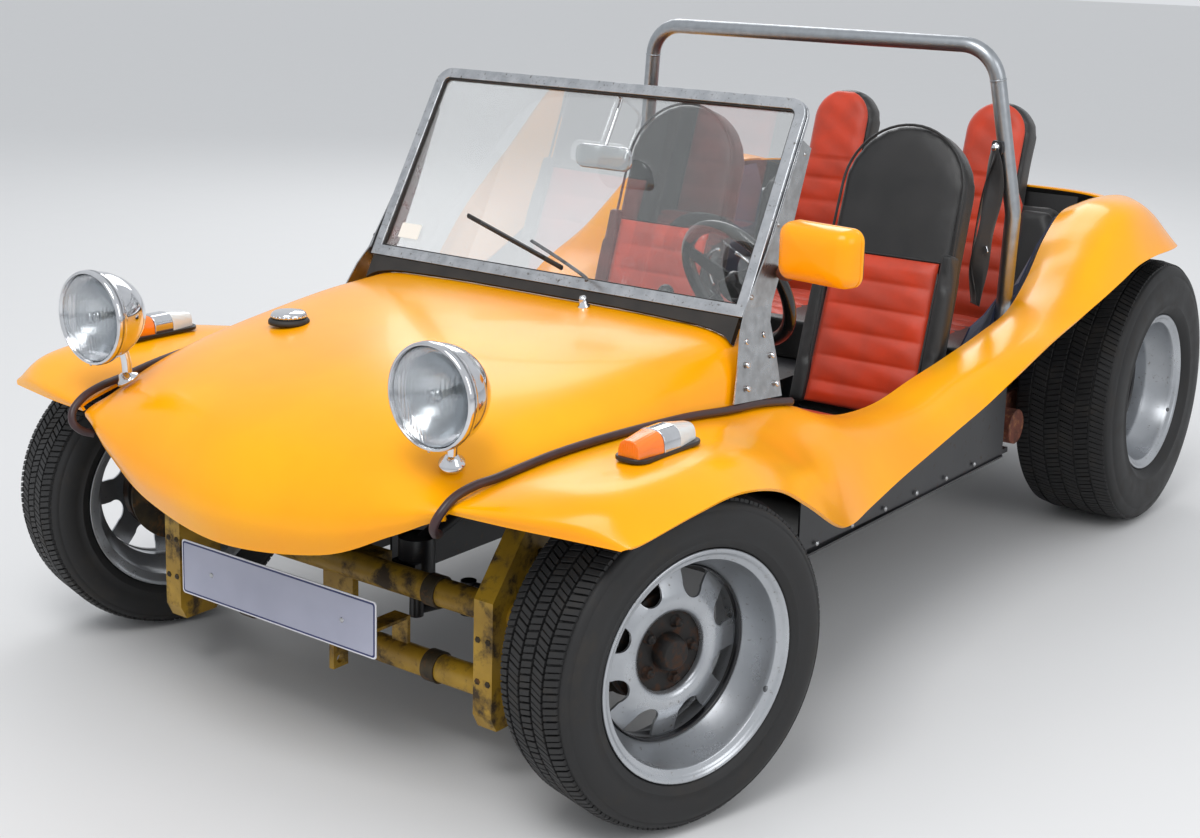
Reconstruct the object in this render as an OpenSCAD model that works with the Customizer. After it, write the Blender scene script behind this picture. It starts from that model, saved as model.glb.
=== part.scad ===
/* [Overall] */
// Distance between the front and rear axles
wheelbase = 2190; // [2100:10:2700]
// Width over the body's fenders
body_width = 1650; // [1500:10:2000]
// Distance of the point midway between the axles ahead of the origin
axle_mid = 116; // [80:1:160]

/* [Front running gear] */
// Distance between the two kingpins
kingpin_span = 1204; // [1150:2:1450]
// Angle of the front wheels as parked, towards the car's right
parked_steer = 15.8; // [0:0.1:20]
// Outer radius of the front tyres
front_tyre_r = 305; // [270:1:320]
// Width of the front tyres
front_tyre_w = 200; // [160:1:220]
// Distance of the front rim's outer flange outboard of its kingpin
front_rim_out = 197; // [180:1:230]
// Spacing of the front beam's two tubes
beam_spacing = 150; // [130:1:160]
// Radius of the front beam's tubes
beam_r = 27; // [22:0.5:30]
// Length of the steering arms
steer_arm = 120; // [100:1:130]

/* [Rear running gear] */
// Distance between the outer flanges of the two rear rims
rear_rim_span = 1524; // [1480:2:1800]
// Outer radius of the rear tyres
rear_tyre_r = 354; // [320:1:365]
// Width of the rear tyres
rear_tyre_w = 275; // [230:1:285]
// Radius of the rear torsion housing
torsion_r = 44; // [35:1:50]
// Radius of the swing axle tubes
axle_tube_r = 36; // [28:1:42]

/* [Rims] */
// Radius of the rim flanges
rim_r = 211; // [205:1:214]
// Number of windows in each rim's disc
rim_windows = 8; // [6:1:10]
// Radius of the wheel studs' circle
stud_pcr = 65; // [50:0.5:80]

/* [Body shell] */
// Thickness of the moulded shell
shell = 6; // [4:0.5:8]
// Width of the number plate
plate_w = 520; // [300:10:520]
// Height of the number plate
plate_h = 110; // [100:5:120]

/* [Windscreen] */
// Width of the windscreen frame at its foot
screen_w = 1024; // [980:2:1060]
// How much narrower the frame is at its top, each side
screen_taper = 7; // [0:1:20]
// Height of the windscreen frame along its slope
screen_h = 482; // [380:1:560]
// Lean of the windscreen from upright
screen_lean = 29; // [20:0.5:35]
// Width of the frame's bars
screen_bar = 26; // [20:1:34]
// Depth of the frame's bars
screen_depth = 20; // [16:1:28]
// Thickness of the glass
glass_t = 5; // [4:0.5:6]

/* [Roll hoop] */
// Outer radius of the hoop's tube
hoop_r = 19.5; // [16:0.5:24]
// Height of the centre of the hoop's top tube
hoop_h = 1285; // [1150:5:1350]
// Half width of the hoop at its top corners
hoop_half = 500; // [440:5:510]
// Centre radius of the hoop's top bends
hoop_bend = 95; // [70:1:120]

/* [Cockpit] */
// Distance of each front seat's centre from the middle
seat_offset = 332; // [300:1:345]
// Height of the floor pan's top
floor_z = 300; // [280:1:310]
// Half width of the floor pan at the sill panels
tub_half = 616; // [600:1:640]
// Radius of the steering wheel
steering_r = 160; // [150:1:180]
// Radius of the steering wheel's rim section
steering_grip = 15; // [11:0.5:17]

/* [Hidden] */
$fn = 48;

// Places along the car are stations: millimetres behind the front axle at the design
// wheelbase. lay() turns a station into the frame's y, and what lies between the axles
// stretches with the wheelbase.
design_wheelbase = 2190;
design_half = 825;
front_y = -axle_mid - wheelbase / 2 + 0.2;
rear_y = front_y + wheelbase;
function lay(s) = s <= 0 ? front_y + s
    : s >= design_wheelbase ? rear_y + s - design_wheelbase
    : front_y + s * wheelbase / design_wheelbase;

// The fenders' outer shape widens with the body, and the seams at the tub stay.
seam_half = 550;
function wide(x) = x <= seam_half ? x
    : seam_half + (x - seam_half) * (body_width / 2 - seam_half) / (design_half - seam_half);
function at(p) = [wide(p[0]), lay(p[1]), p[2]];

// ---- curves and sheets ----
function bend4(a, b, c, d, t) = 0.5 * ((2 * b) + (c - a) * t + (2 * a - 5 * b + 4 * c - d) * t * t
    + (3 * b - a - 3 * c + d) * t * t * t);
function pick(row, i) = row[max(0, min(len(row) - 1, i))];
// A smooth line through the points of row, with n steps between neighbours.
function smooth(row, n) = [for (i = [0 : len(row) - 2], k = [0 : n - 1])
    bend4(pick(row, i - 1), row[i], row[i + 1], pick(row, i + 2), k / n), row[len(row) - 1]];
function column(grid, j) = [for (row = grid) row[j]];
function turned(grid) = [for (j = [0 : len(grid[0]) - 1]) column(grid, j)];
// A smooth skin through a grid of points, finer by nu along and nv across.
function smooth_grid(grid, nu, nv) = turned([for (line = turned([for (row = grid) smooth(row, nv)]))
    smooth(line, nu)]);
function reversed(grid) = [for (i = [len(grid) - 1 : -1 : 0]) grid[i]];
function unit(v) = v / max(norm(v), 0.000001);
function facing(g, i, j) = unit(cross(
    g[min(i + 1, len(g) - 1)][j] - g[max(i - 1, 0)][j],
    g[i][min(j + 1, len(g[0]) - 1)] - g[i][max(j - 1, 0)]));
function flat(list) = [for (row = list, p = row) p];

// A closed sheet of thickness t, with g as one face and its other face below it.
module thick_sheet(g, t) {
    m = len(g);
    n = len(g[0]);
    under = [for (i = [0 : m - 1]) [for (j = [0 : n - 1]) g[i][j] - t * facing(g, i, j)]];
    top = [for (i = [0 : m - 2], j = [0 : n - 2]) each
        [[i * n + j, i * n + j + 1, (i + 1) * n + j + 1], [i * n + j, (i + 1) * n + j + 1, (i + 1) * n + j]]];
    base = [for (f = top) [f[2] + m * n, f[1] + m * n, f[0] + m * n]];
    rim = concat([for (j = [0 : n - 1]) j], [for (i = [1 : m - 1]) i * n + n - 1],
        [for (j = [n - 2 : -1 : 0]) (m - 1) * n + j], [for (i = [m - 2 : -1 : 1]) i * n]);
    edge = [for (k = [0 : len(rim) - 1]) let (a = rim[k], b = rim[(k + 1) % len(rim)]) each
        [[b, a, a + m * n], [b, a + m * n, b + m * n]]];
    polyhedron(concat(flat(g), flat(under)), concat(top, base, edge));
}

// A solid tube of radius r along path with sides faces; up is a direction that path never takes.
module swept_tube(path, r, sides, up) {
    m = len(path);
    rings = [for (i = [0 : m - 1])
        let (d = unit(path[min(i + 1, m - 1)] - path[max(i - 1, 0)]),
            a = unit(cross(d, up)), b = cross(a, d))
        [for (k = [0 : sides - 1]) path[i] + r * (cos(360 * k / sides) * a + sin(360 * k / sides) * b)]];
    walls = [for (i = [0 : m - 2], k = [0 : sides - 1]) let (l = (k + 1) % sides) each
        [[i * sides + k, i * sides + l, (i + 1) * sides + l], [i * sides + k, (i + 1) * sides + l, (i + 1) * sides + k]]];
    polyhedron(flat(rings), concat(walls, [[for (k = [sides - 1 : -1 : 0]) k]],
        [[for (k = [0 : sides - 1]) (m - 1) * sides + k]]));
}

// ---- plain shapes ----
module rod(a, b, r) {
    d = b - a;
    translate(a) rotate([0, acos(d[2] / norm(d)), atan2(d[1], d[0])]) cylinder(h = norm(d), r = r);
}
// Rods end to end; each joint swells a little, so no two surfaces are tangent.
swell = 0.25;
module rod_chain(points, r) {
    for (i = [0 : len(points) - 2]) rod(points[i], points[i + 1], r);
    for (i = [1 : 1 : len(points) - 2]) translate(points[i]) sphere(r = r + swell);
}
module block(low, high) {
    translate(low) cube(high - low);
}
module both() {
    children();
    mirror([1, 0, 0]) children();
}
module plate_x(x, t, outline) {
    translate([x, 0, 0]) rotate([90, 0, 90]) linear_extrude(t) polygon(outline);
}

// ---- floor and tub ----
// The floor starts clear of the front tyres at full lock.
floor_front = lay(379);
floor_rear = lay(1600);
floor_t = 12;
tunnel_front_s = -60;
tunnel_half = 75;
tunnel_h = 120;
tunnel_wall = 5;
sill_t = 4;
step_z = 400;
tub_wall = 6;
tub_rear_half = 478;
torsion_s = 1671;
torsion_z = 335;
slip = 0.3;

module floor_pan() {
    color("dimgray") difference() {
        union() {
            block([-tub_half + sill_t, floor_front, floor_z - floor_t], [tub_half - sill_t, floor_rear, floor_z]);
            block([-tunnel_half, lay(tunnel_front_s), floor_z - floor_t], [tunnel_half, floor_rear, floor_z + tunnel_h]);
        }
        block([-tunnel_half + tunnel_wall, lay(tunnel_front_s) - 1, floor_z - floor_t - 1],
            [tunnel_half - tunnel_wall, floor_rear + 1, floor_z + tunnel_h - tunnel_wall]);
    }
}

// Outline of a sill panel in station and height: its top follows the underside of the moulded rail.
sill_points = [[573, 300], [1559, 283], [1559, 600], [1515, 606], [1330, 566], [1170, 540], [1020, 514], [870, 510],
    [750, 525], [640, 552], [573, 562]];
module side_panels() {
    color("#1c1c1f") both() plate_x(tub_half - sill_t + slip, sill_t, [for (p = sill_points) [lay(p[0]), p[1]]]);
}

seat_base_s = 2030;
seat_back_t = 100;
rear_lean = 16;
module cockpit_tub() {
    color("#1c1c1f") {
        // toe board ahead of the pedals
        difference() {
            block([-tub_half + 70, floor_front, floor_z + slip], [tub_half - 70, floor_front + tub_wall, 560]);
            block([-tunnel_half - slip, floor_front - 1, floor_z],
                [tunnel_half + slip, floor_front + tub_wall + 1, floor_z + tunnel_h + slip]);
        }
        // rear seat step over the torsion housing, with its riser
        difference() {
            block([-tub_rear_half, floor_rear + slip, floor_z], [tub_rear_half, lay(2130), step_z]);
            block([-tub_rear_half + tub_wall, floor_rear + tub_wall, floor_z - 1],
                [tub_rear_half - tub_wall, lay(2140), step_z - tub_wall]);
            rod([-tub_half, lay(torsion_s), torsion_z], [tub_half, lay(torsion_s), torsion_z], torsion_r + 1);
        }
        // leaning bulkhead behind the rear seats
        translate([0, lay(seat_base_s) + seat_back_t / cos(rear_lean) + slip, step_z - tub_wall])
            rotate([-rear_lean, 0, 0])
            block([-tub_rear_half, 0, 0], [tub_rear_half, tub_wall, 470]);
    }
}

// ---- moulded body ----
// Each row runs from the bonnet seam or cockpit edge, over the crown, to the outer lip.
side_rows = [
    [[478, -355, 588], [590, -340, 586], [700, -314, 582], [783, -288, 576]],
    [[481, -350, 603], [594, -336, 612], [708, -309, 610], [798, -276, 583]],
    [[497, -249, 622], [610, -249, 640], [735, -249, 640], [808, -241, 589]],
    [[513, -124, 636], [620, -124, 652], [745, -124, 653], [822, -122, 609]],
    [[530, 0, 642], [628, 0, 656], [748, 0, 655], [825, 0, 614]],
    [[545, 129, 642], [636, 129, 652], [750, 129, 640], [825, 129, 588]],
    [[551, 250, 636], [640, 250, 636], [745, 250, 602], [820, 245, 530]],
    [[553, 380, 622], [636, 385, 606], [735, 395, 540], [796, 403, 445]],
    [[553, 500, 612], [625, 510, 582], [710, 520, 500], [765, 520, 410]],
    [[552, 620, 592], [612, 630, 568], [685, 640, 492], [738, 645, 408]],
    [[550, 735, 552], [605, 750, 540], [675, 770, 488], [722, 800, 426]],
    [[550, 850, 527], [604, 870, 524], [672, 900, 492], [715, 940, 446]],
    [[550, 1000, 523], [604, 1020, 528], [674, 1040, 512], [712, 1080, 470]],
    [[550, 1160, 545], [606, 1170, 553], [678, 1190, 542], [715, 1220, 500]],
    [[551, 1330, 567], [610, 1330, 582], [688, 1325, 580], [733, 1300, 541]],
    [[556, 1520, 600], [615, 1515, 624], [700, 1500, 630], [757, 1455, 612]],
    [[558, 1660, 632], [620, 1655, 676], [714, 1640, 700], [775, 1600, 657]],
    [[556, 1770, 700], [625, 1765, 752], [724, 1745, 772], [786, 1700, 688]],
    [[553, 1860, 782], [630, 1855, 822], [732, 1840, 830], [793, 1795, 717]],
    [[551, 1965, 843], [635, 1960, 876], [738, 1940, 866], [799, 1895, 747]],
    [[550, 2090, 856], [636, 2085, 884], [736, 2060, 864], [801, 2010, 757]],
    [[550, 2215, 858], [630, 2205, 872], [726, 2165, 838], [800, 2120, 758]],
    [[550, 2330, 845], [618, 2315, 846], [705, 2270, 800], [782, 2215, 754]],
    [[550, 2420, 815], [600, 2400, 805], [675, 2350, 764], [740, 2290, 742]],
    [[550, 2480, 770], [585, 2455, 762], [635, 2405, 738], [680, 2345, 724]]];
side_fine = smooth_grid([for (row = side_rows) [for (p = row) at(p)]], 2, 4);

module body_side_left() {
    color("#ffab00") thick_sheet(reversed(side_fine), shell);
}
module body_side_right() {
    color("#ffab00") mirror([1, 0, 0]) thick_sheet(reversed(side_fine), shell);
}

// The tail between the rear fenders: middle, shoulder and edge of each row.
tail_rows = [
    [[0, 2262, 864], [420, 2262, 864], [549.2, 2262, 854]],
    [[0, 2335, 855], [420, 2335, 855], [549.2, 2335, 844]],
    [[0, 2430, 832], [420, 2430, 830], [549, 2425, 812]],
    [[0, 2520, 795], [415, 2518, 790], [547, 2500, 752]],
    [[0, 2575, 745], [410, 2570, 738], [541, 2535, 700]],
    [[0, 2596, 680], [405, 2590, 674], [535, 2558, 645]],
    [[0, 2592, 610], [400, 2588, 608], [529, 2562, 596]]];
function mirrored(p) = [-p[0], p[1], p[2]];
// A full-width row from its right-hand half, listed from the middle outwards.
function across(row) = concat([for (i = [len(row) - 1 : -1 : 1]) mirrored(at(row[i]))], [for (p = row) at(p)]);
tail_fine = smooth_grid([for (row = tail_rows) across(row)], 3, 4);
module tail_body() {
    color("#ffab00") thick_sheet(reversed(tail_fine), shell);
}

// The bonnet from the windscreen over the nose to its lower lip: middle, quarter,
// shoulder, flank and seam of each row.
bonnet_rows = [
    [[0, 556, 763], [300, 556, 761], [468, 556, 749], [524, 556, 694], [545, 556, 606]],
    [[0, 490, 763], [300, 490, 761], [468, 490, 749], [526, 490, 694], [547, 490, 608]],
    [[0, 400, 764], [295, 400, 761], [462, 400, 746], [525, 400, 698], [549, 400, 617]],
    [[0, 280, 764], [285, 280, 759], [448, 280, 742], [518, 280, 696], [546, 280, 630]],
    [[0, 120, 754], [270, 120, 747], [430, 120, 728], [504, 120, 690], [540, 120, 638]],
    [[0, -50, 738], [255, -50, 729], [412, -50, 708], [486, -50, 676], [522, -50, 638]],
    [[0, -180, 717], [245, -180, 706], [398, -180, 684], [468, -180, 656], [500, -180, 627]],
    [[0, -290, 688], [238, -285, 676], [386, -275, 654], [452, -268, 632], [486, -258, 612]],
    [[0, -380, 644], [234, -366, 636], [378, -345, 618], [444, -335, 606], [477, -326, 598]],
    [[0, -430, 585], [232, -408, 580], [374, -382, 588], [440, -364, 590], [473, -352, 588]],
    [[0, -449, 510], [230, -420, 520], [372, -390, 556], [438, -368, 575], [471, -355, 580]],
    [[0, -430, 446], [228, -404, 470], [370, -382, 530], [436, -362, 562], [470, -352, 573]]];
bonnet_fine = smooth_grid([for (row = bonnet_rows) across(row)], 3, 3);
module bonnet() {
    color("#ffab00") thick_sheet(bonnet_fine, shell);
}

// Rubber beading in the seam between bonnet and fender, curled round the nose corner.
bead_r = 8;
bead_lift = 1.4;
bead_seam = [for (i = [9 : -1 : 2]) side_rows[i][0] + [1.7, 0, bead_r + bead_lift]];
bead_curl = [[490, -300, 627], [484, -345, 616], [480, -376, 595], [472, -384, 572], [463, -370, 554],
    [452, -350, 546]];
module bonnet_beading() {
    color("#4a2f33") both() swept_tube(smooth([for (p = concat(bead_seam, bead_curl)) at(p)], 3), bead_r, 10, [0, 0, 1]);
}

dash_half = 500;
dash_s = 556.4;
dash_t = 24;
gauge_r = 34;
module dashboard() {
    color("#1c1c1f") difference() {
        block([-dash_half, lay(dash_s), 610], [dash_half, lay(dash_s) + dash_t, 759]);
        for (x = [185, 395]) translate([x, lay(dash_s) + 8, 680]) rotate([-90, 0, 0]) cylinder(h = dash_t, r = gauge_r);
        rod(column_foot, wheel_centre, column_r + 8);
    }
}

// Linings of the wheel housings beside the rear seats; the last two numbers of each row are its top edge.
well_half = 482.5;
well_tops = [[1560, 508, 594], [1640, 508, 614], [1722, 508, 652], [1762, 542, 682], [1860, 541, 768], [1965, 539, 828],
    [2090, 538, 842], [2215, 538, 844]];
well_rows = [for (w = well_tops) [[well_half, w[0], step_z - 9.5], [well_half, w[0], 480],
    [well_half + 2, w[0], (480 + w[2]) / 2], [w[1] - 10, w[0], w[2] - 26], [w[1], w[0], w[2]]]];
module wheel_wells() {
    color("#1d2540") both() thick_sheet([for (row = well_rows) [for (p = row) at(p)]], 4);
}

// ---- windscreen ----
screen_s = 489;
screen_z = 790.5;
screen_round = 42;
screen_lip = 6;
groove_gap = 0.3;
module on_screen() {
    translate([0, lay(screen_s), screen_z]) rotate([-screen_lean, 0, 0]) children();
}
module screen_outline(inset) {
    foot = screen_w / 2 - inset;
    w = foot - screen_taper;
    h = screen_h - inset;
    r = screen_round - inset;
    polygon(concat([[-foot, inset], [foot, inset]], [for (a = [0 : 9 : 90]) [w - r + r * cos(a), h - r + r * sin(a)]],
        [for (a = [90 : 9 : 180]) [r - w + r * cos(a), h - r + r * sin(a)]]));
}
module screen_slab(inset, depth, back) {
    translate([0, back, 0]) rotate([90, 0, 0]) linear_extrude(depth) screen_outline(inset);
}
module windscreen_frame() {
    color("silver") on_screen() difference() {
        screen_slab(0, screen_depth, screen_depth);
        screen_slab(screen_bar, screen_depth + 2, screen_depth + 1);
        screen_slab(screen_bar - screen_lip - groove_gap, glass_t + 2 * groove_gap, screen_depth / 2 + glass_t / 2 + groove_gap);
    }
}
module windscreen_glass() {
    color("#a8bcc4", 0.4) on_screen() screen_slab(screen_bar - screen_lip, glass_t, screen_depth / 2 + glass_t / 2);
}
// Rubber between the frame's foot and the bonnet, deeper where the bonnet falls away.
seal_half = [[200, -21.9], [300, -23.9], [400, -27.3], [434, -30.4], [468, -37.3], [484, -44], [500, -56], [500, 0]];
seal_points = concat([[0, -21.6]], seal_half, [for (i = [len(seal_half) - 1 : -1 : 0]) [-seal_half[i][0], seal_half[i][1]]]);
module windscreen_seal() {
    color("#26221f") on_screen() translate([0, 16, 0]) rotate([90, 0, 0]) linear_extrude(14) polygon(seal_points);
}
bracket_t = 3;
// Front and rear edge of the bracket, from its foot on the bonnet's flank up beside the frame.
bracket_rows = [
    [[554, 395, 639.1], [554, 576, 622.3]],
    [[541, 425, 700], [541, 571, 700]],
    [[522, 460, 770], [522, 571, 772]],
    [[512.4, 489, 806], [512.4, 590, 806]],
    [[511, 590, 950], [511, 650, 930]],
    [[507.5, 690, 1130], [507.5, 726, 1110]]];
rivets = [[548.5, 447, 662], [549.5, 556, 652], [539.5, 458, 706], [539.5, 552, 710], [529, 476, 748], [529, 540, 752]];
module windscreen_brackets() {
    color("#9a9aa0") both() {
        thick_sheet([for (row = bracket_rows) [for (p = row) [p[0], lay(p[1]), p[2]]]], bracket_t);
        for (p = rivets) translate([p[0] + bracket_t - 1, lay(p[1]), p[2]]) rotate([0, 78, 0]) cylinder(h = 4.5, r = 5);
    }
}
module wiper() {
    color("#2a2a2c") {
        rod([140, lay(455), 766], [140, lay(448), 792], 9);
        rod_chain([[140, lay(448), 786], [60, lay(480), 850], [-60, lay(520), 925]], 4);
    }
}
stem_y = screen_depth + 34;
module interior_mirror() {
    color("silver") on_screen() {
        rod([0, screen_depth + 2.2, screen_h - 12], [0, stem_y, screen_h - 20], 7);
        rod([0, stem_y, screen_h - 20], [0, stem_y, screen_h - 150], 4);
        translate([0, stem_y + 7, screen_h - 160]) rotate([90, 0, 0]) linear_extrude(14) square([150, 52], center = true);
    }
}
mirror_x = 632;
mirror_s = 560;
mirror_z = 925;
mirror_arm = [[516.4, 610, 868], [575, 600, 872], [600, 580, 880], [604, 566, 900]];
module door_mirror() {
    color("#ffab00") translate([mirror_x, lay(mirror_s), mirror_z]) rotate([0, 0, -8]) hull() {
        for (x = [-72, 72], z = [-40, 40]) translate([x, 12, z]) sphere(r = 20, $fn = 20);
        for (x = [-50, 50], z = [-26, 26]) translate([x, -14, z]) sphere(r = 18, $fn = 20);
    }
    color("silver") rod_chain([for (p = mirror_arm) [p[0], lay(p[1]), p[2]]], 6);
}

// ---- lamps, plates and trim ----
lamp_x = 440;
lamp_s = -357;
lamp_z = 782;
lamp_r = 86;
lamp_ring_r = 93;
stalk_x = 425;
stalk_s = -286;
stalk_foot_z = 649.4;
module at_lamp() {
    translate([lamp_x, lay(lamp_s), lamp_z]) rotate([-90, 0, 0]) children();
}
bowl_profile = [[0, 108], [22, 105], [44, 96], [64, 78], [79, 54], [87, 30], [90, 12], [lamp_ring_r, 8],
    [lamp_ring_r, -4], [lamp_r + 1, -8], [lamp_r + 1, 4 + slip], [78, 6], [76, 34], [56, 68], [30, 84], [0, 90]];
module headlamps() {
    color("silver") both() {
        at_lamp() rotate_extrude() polygon(bowl_profile);
        rod([stalk_x, lay(stalk_s), lamp_z - 70], [stalk_x, lay(stalk_s), stalk_foot_z], 11);
        translate([stalk_x, lay(stalk_s), stalk_foot_z]) cylinder(h = 6, r = 22);
    }
}
lens_profile = [[0, -16], [30, -14.5], [55, -11], [74, -5], [lamp_r, 1], [lamp_r, 4], [0, 4]];
module headlamp_lenses() {
    color("#dfe8ec", 0.5) both() at_lamp() rotate_extrude() polygon(lens_profile);
}
indicator_z = 659.2;
module front_indicators() {
    color("orange") both() translate([664, lay(-15), indicator_z]) hull() {
        block([-34, -100, 0], [34, 100, 8]);
        block([-24, -82, 44], [24, 62, 46]);
    }
}
module tail_lamps() {
    color("darkred") both() translate([430, lay(2599), 670]) rotate([-90, 0, 0]) {
        cylinder(h = 26, r = 44);
        translate([0, 0, -10]) cylinder(h = 10, r = 12);
    }
}
plate_t = 3;
plate_s = -299;
rear_plate_s = 2596.8;
rear_plate_z = 625;
plate_z = 305;
module number_plates() {
    color("#a9acba") {
        block([-plate_w / 2, lay(plate_s), plate_z - plate_h / 2],
            [plate_w / 2, lay(plate_s) + plate_t, plate_z + plate_h / 2]);
        block([-plate_w / 2, lay(rear_plate_s), rear_plate_z],
            [plate_w / 2, lay(rear_plate_s) + plate_t, rear_plate_z + plate_h]);
    }
}
module filler_cap() {
    color("silver") translate([-280, lay(11), 740.3]) {
        cylinder(h = 12, r = 39);
        translate([0, 0, 12]) cylinder(h = 12, r = 35);
    }
}

// ---- seats ----
pad_fn = 16;
module pad(low, high, r) {
    // a sphere's end rings stop short of its poles
    e = r * cos(180 / pad_fn);
    hull() for (x = [low[0] + r, high[0] - r], y = [low[1] + r, high[1] - r], z = [low[2] + e, high[2] - e])
        translate([x, y, z]) sphere(r = r, $fn = pad_fn);
}
back_lean = 17;
back_half = 190;
cushion_top = 392;
runner_h = 30;
module seat(side) {
    translate([side * seat_offset, 0, 0]) {
        translate([0, lay(1310), cushion_top - 20]) rotate([-back_lean, 0, 0]) hull() {
            translate([0, 0, 584]) rotate([-90, 0, 0]) cylinder(h = 90, r = 178, $fn = 32);
            translate([-back_half, 0, 60]) cube([2 * back_half, 100, 40]);
            translate([-back_half, 0, 0]) cube([2 * back_half, 90, 40]);
        }
        pad([-225, lay(800), floor_z + runner_h - 4], [225, lay(1322), cushion_top], 30);
        for (x = [-150, 150]) block([x - 14, lay(840), floor_z + slip], [x + 14, lay(1290), floor_z + runner_h]);
    }
}
module driver_seat() {
    color("#26262b") seat(1);
}
module passenger_seat() {
    color("#26262b") seat(-1);
}
module rear_seat_backs() {
    color("#26262b") both() translate([0, lay(seat_base_s), step_z + 10]) rotate([-rear_lean, 0, 0]) {
        hull() {
            translate([8, 0, 60]) cube([464, seat_back_t, 40]);
            translate([8, 10, 430]) cube([464, seat_back_t - 20, 20]);
        }
        hull() for (x = [205, 285]) translate([x, 20, 630]) rotate([-90, 0, 0]) cylinder(h = 60, r = 64, $fn = 32);
        translate([150, 25, 440]) cube([190, 50, 190]);
    }
}
module rear_seat_cushion() {
    color("#26262b") pad([-472, lay(1620), step_z + slip], [472, lay(seat_base_s) + 17, step_z + 130], 40);
}

// ---- roll hoop and belt ----
hoop_s = 1601;
hoop_lean = 7;
hoop_splay = 8;
knee_z = 876;
hoop_ankle = [531, 1697, 640];
// Where the straight leg leaves the top bend, measured in the hoop's own plane.
bend_reach = hoop_bend * tan((90 - hoop_splay) / 2);
leg_dir = [sin(hoop_splay), cos(hoop_splay) * sin(hoop_lean), -cos(hoop_splay) * cos(hoop_lean)];
leg_start = [hoop_half, lay(hoop_s), hoop_h] + bend_reach * leg_dir;
knee = leg_start + leg_dir * (knee_z - leg_start[2]) / leg_dir[2];
// Points round the top bend, from the top tube to the leg.
bend_steps = 6;
function bend_point(a) = let (x = hoop_half - bend_reach + hoop_bend * sin(a), d = hoop_bend * (cos(a) - 1))
    [x, lay(hoop_s) - d * sin(hoop_lean), hoop_h + d * cos(hoop_lean)];
hoop_lap = 10;
module roll_hoop() {
    ankle = [hoop_ankle[0], lay(hoop_ankle[1]), hoop_ankle[2]];
    bend = [for (i = [0 : bend_steps]) bend_point((90 - hoop_splay) * i / bend_steps)];
    foot = [530, lay(torsion_s), torsion_z + torsion_r + slip];
    color("#b5b7ba") {
        rod([-(hoop_half - bend_reach), lay(hoop_s), hoop_h], [hoop_half - bend_reach, lay(hoop_s), hoop_h], hoop_r);
        both() swept_tube(concat([bend_point(0) - [hoop_lap, 0, 0]], bend, [knee, ankle, foot]), hoop_r - slip, 20, [0, 1, 0]);
    }
}
belt_w = 48;
belt_t = 3;
module plank(a, b, w, t) {
    d = b - a;
    translate(a) rotate([0, acos(d[2] / norm(d)), atan2(d[1], d[0])]) translate([-t / 2, -w / 2, 0]) cube([t, w, norm(d)]);
}
module seat_belt() {
    // hangs down the inner side of the hoop's leg
    inward = unit([-leg_dir[0], -leg_dir[1], 0]) * (hoop_r + belt_t / 2 + swell + slip) * 1.02;
    high = leg_start + leg_dir * 130;
    low = leg_start + leg_dir * 300;
    color("#18181a") plank(high + inward, low + inward, belt_w, belt_t);
}

// ---- controls ----
box_x = 140;
box_r = 36;
column_r = 16;
shaft_r = 9;
fit = 0.08;
wheel_centre = [325, lay(761), 795];
column_foot = [box_x, lay(-60), 375];
column_dir = unit(wheel_centre - column_foot);
column_top = wheel_centre - 62 * column_dir;
module driver_controls() {
    $fn = 20;
    color("#2a2a2c") {
        for (x = [180, 260, 345]) {
            rod_chain([[x, lay(440), floor_z + slip], [x, lay(440), floor_z + 24], [x, lay(478), floor_z + 150]], 7);
            block([x - 25, lay(474), floor_z + 140], [x + 25, lay(484), floor_z + 190]);
        }
        rod_chain([[0, lay(900), floor_z + tunnel_h + slip], [0, lay(900), 500], [0, lay(960), 690]], 7);
        translate([0, lay(962), 700]) sphere(r = 20);
        rod_chain([[45, lay(1170), floor_z + tunnel_h + slip], [45, lay(1170), 442], [45, lay(1000), 476]], 9);
    }
}
module steering_column() {
    color("#6a5218") difference() {
        union() {
            rod(column_foot, column_top, column_r);
            translate([box_x, lay(-60), 300]) cylinder(h = 95, r = box_r);
            block([box_x - 30, lay(-125) + beam_r + slip, 312], [box_x + 30, lay(-60), 352]);
        }
        rod(column_top - 60 * column_dir, column_top + column_dir, shaft_r + fit);
        translate([box_x, lay(-60), 299]) cylinder(h = 31, r = pitman_r + fit);
    }
}

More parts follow.
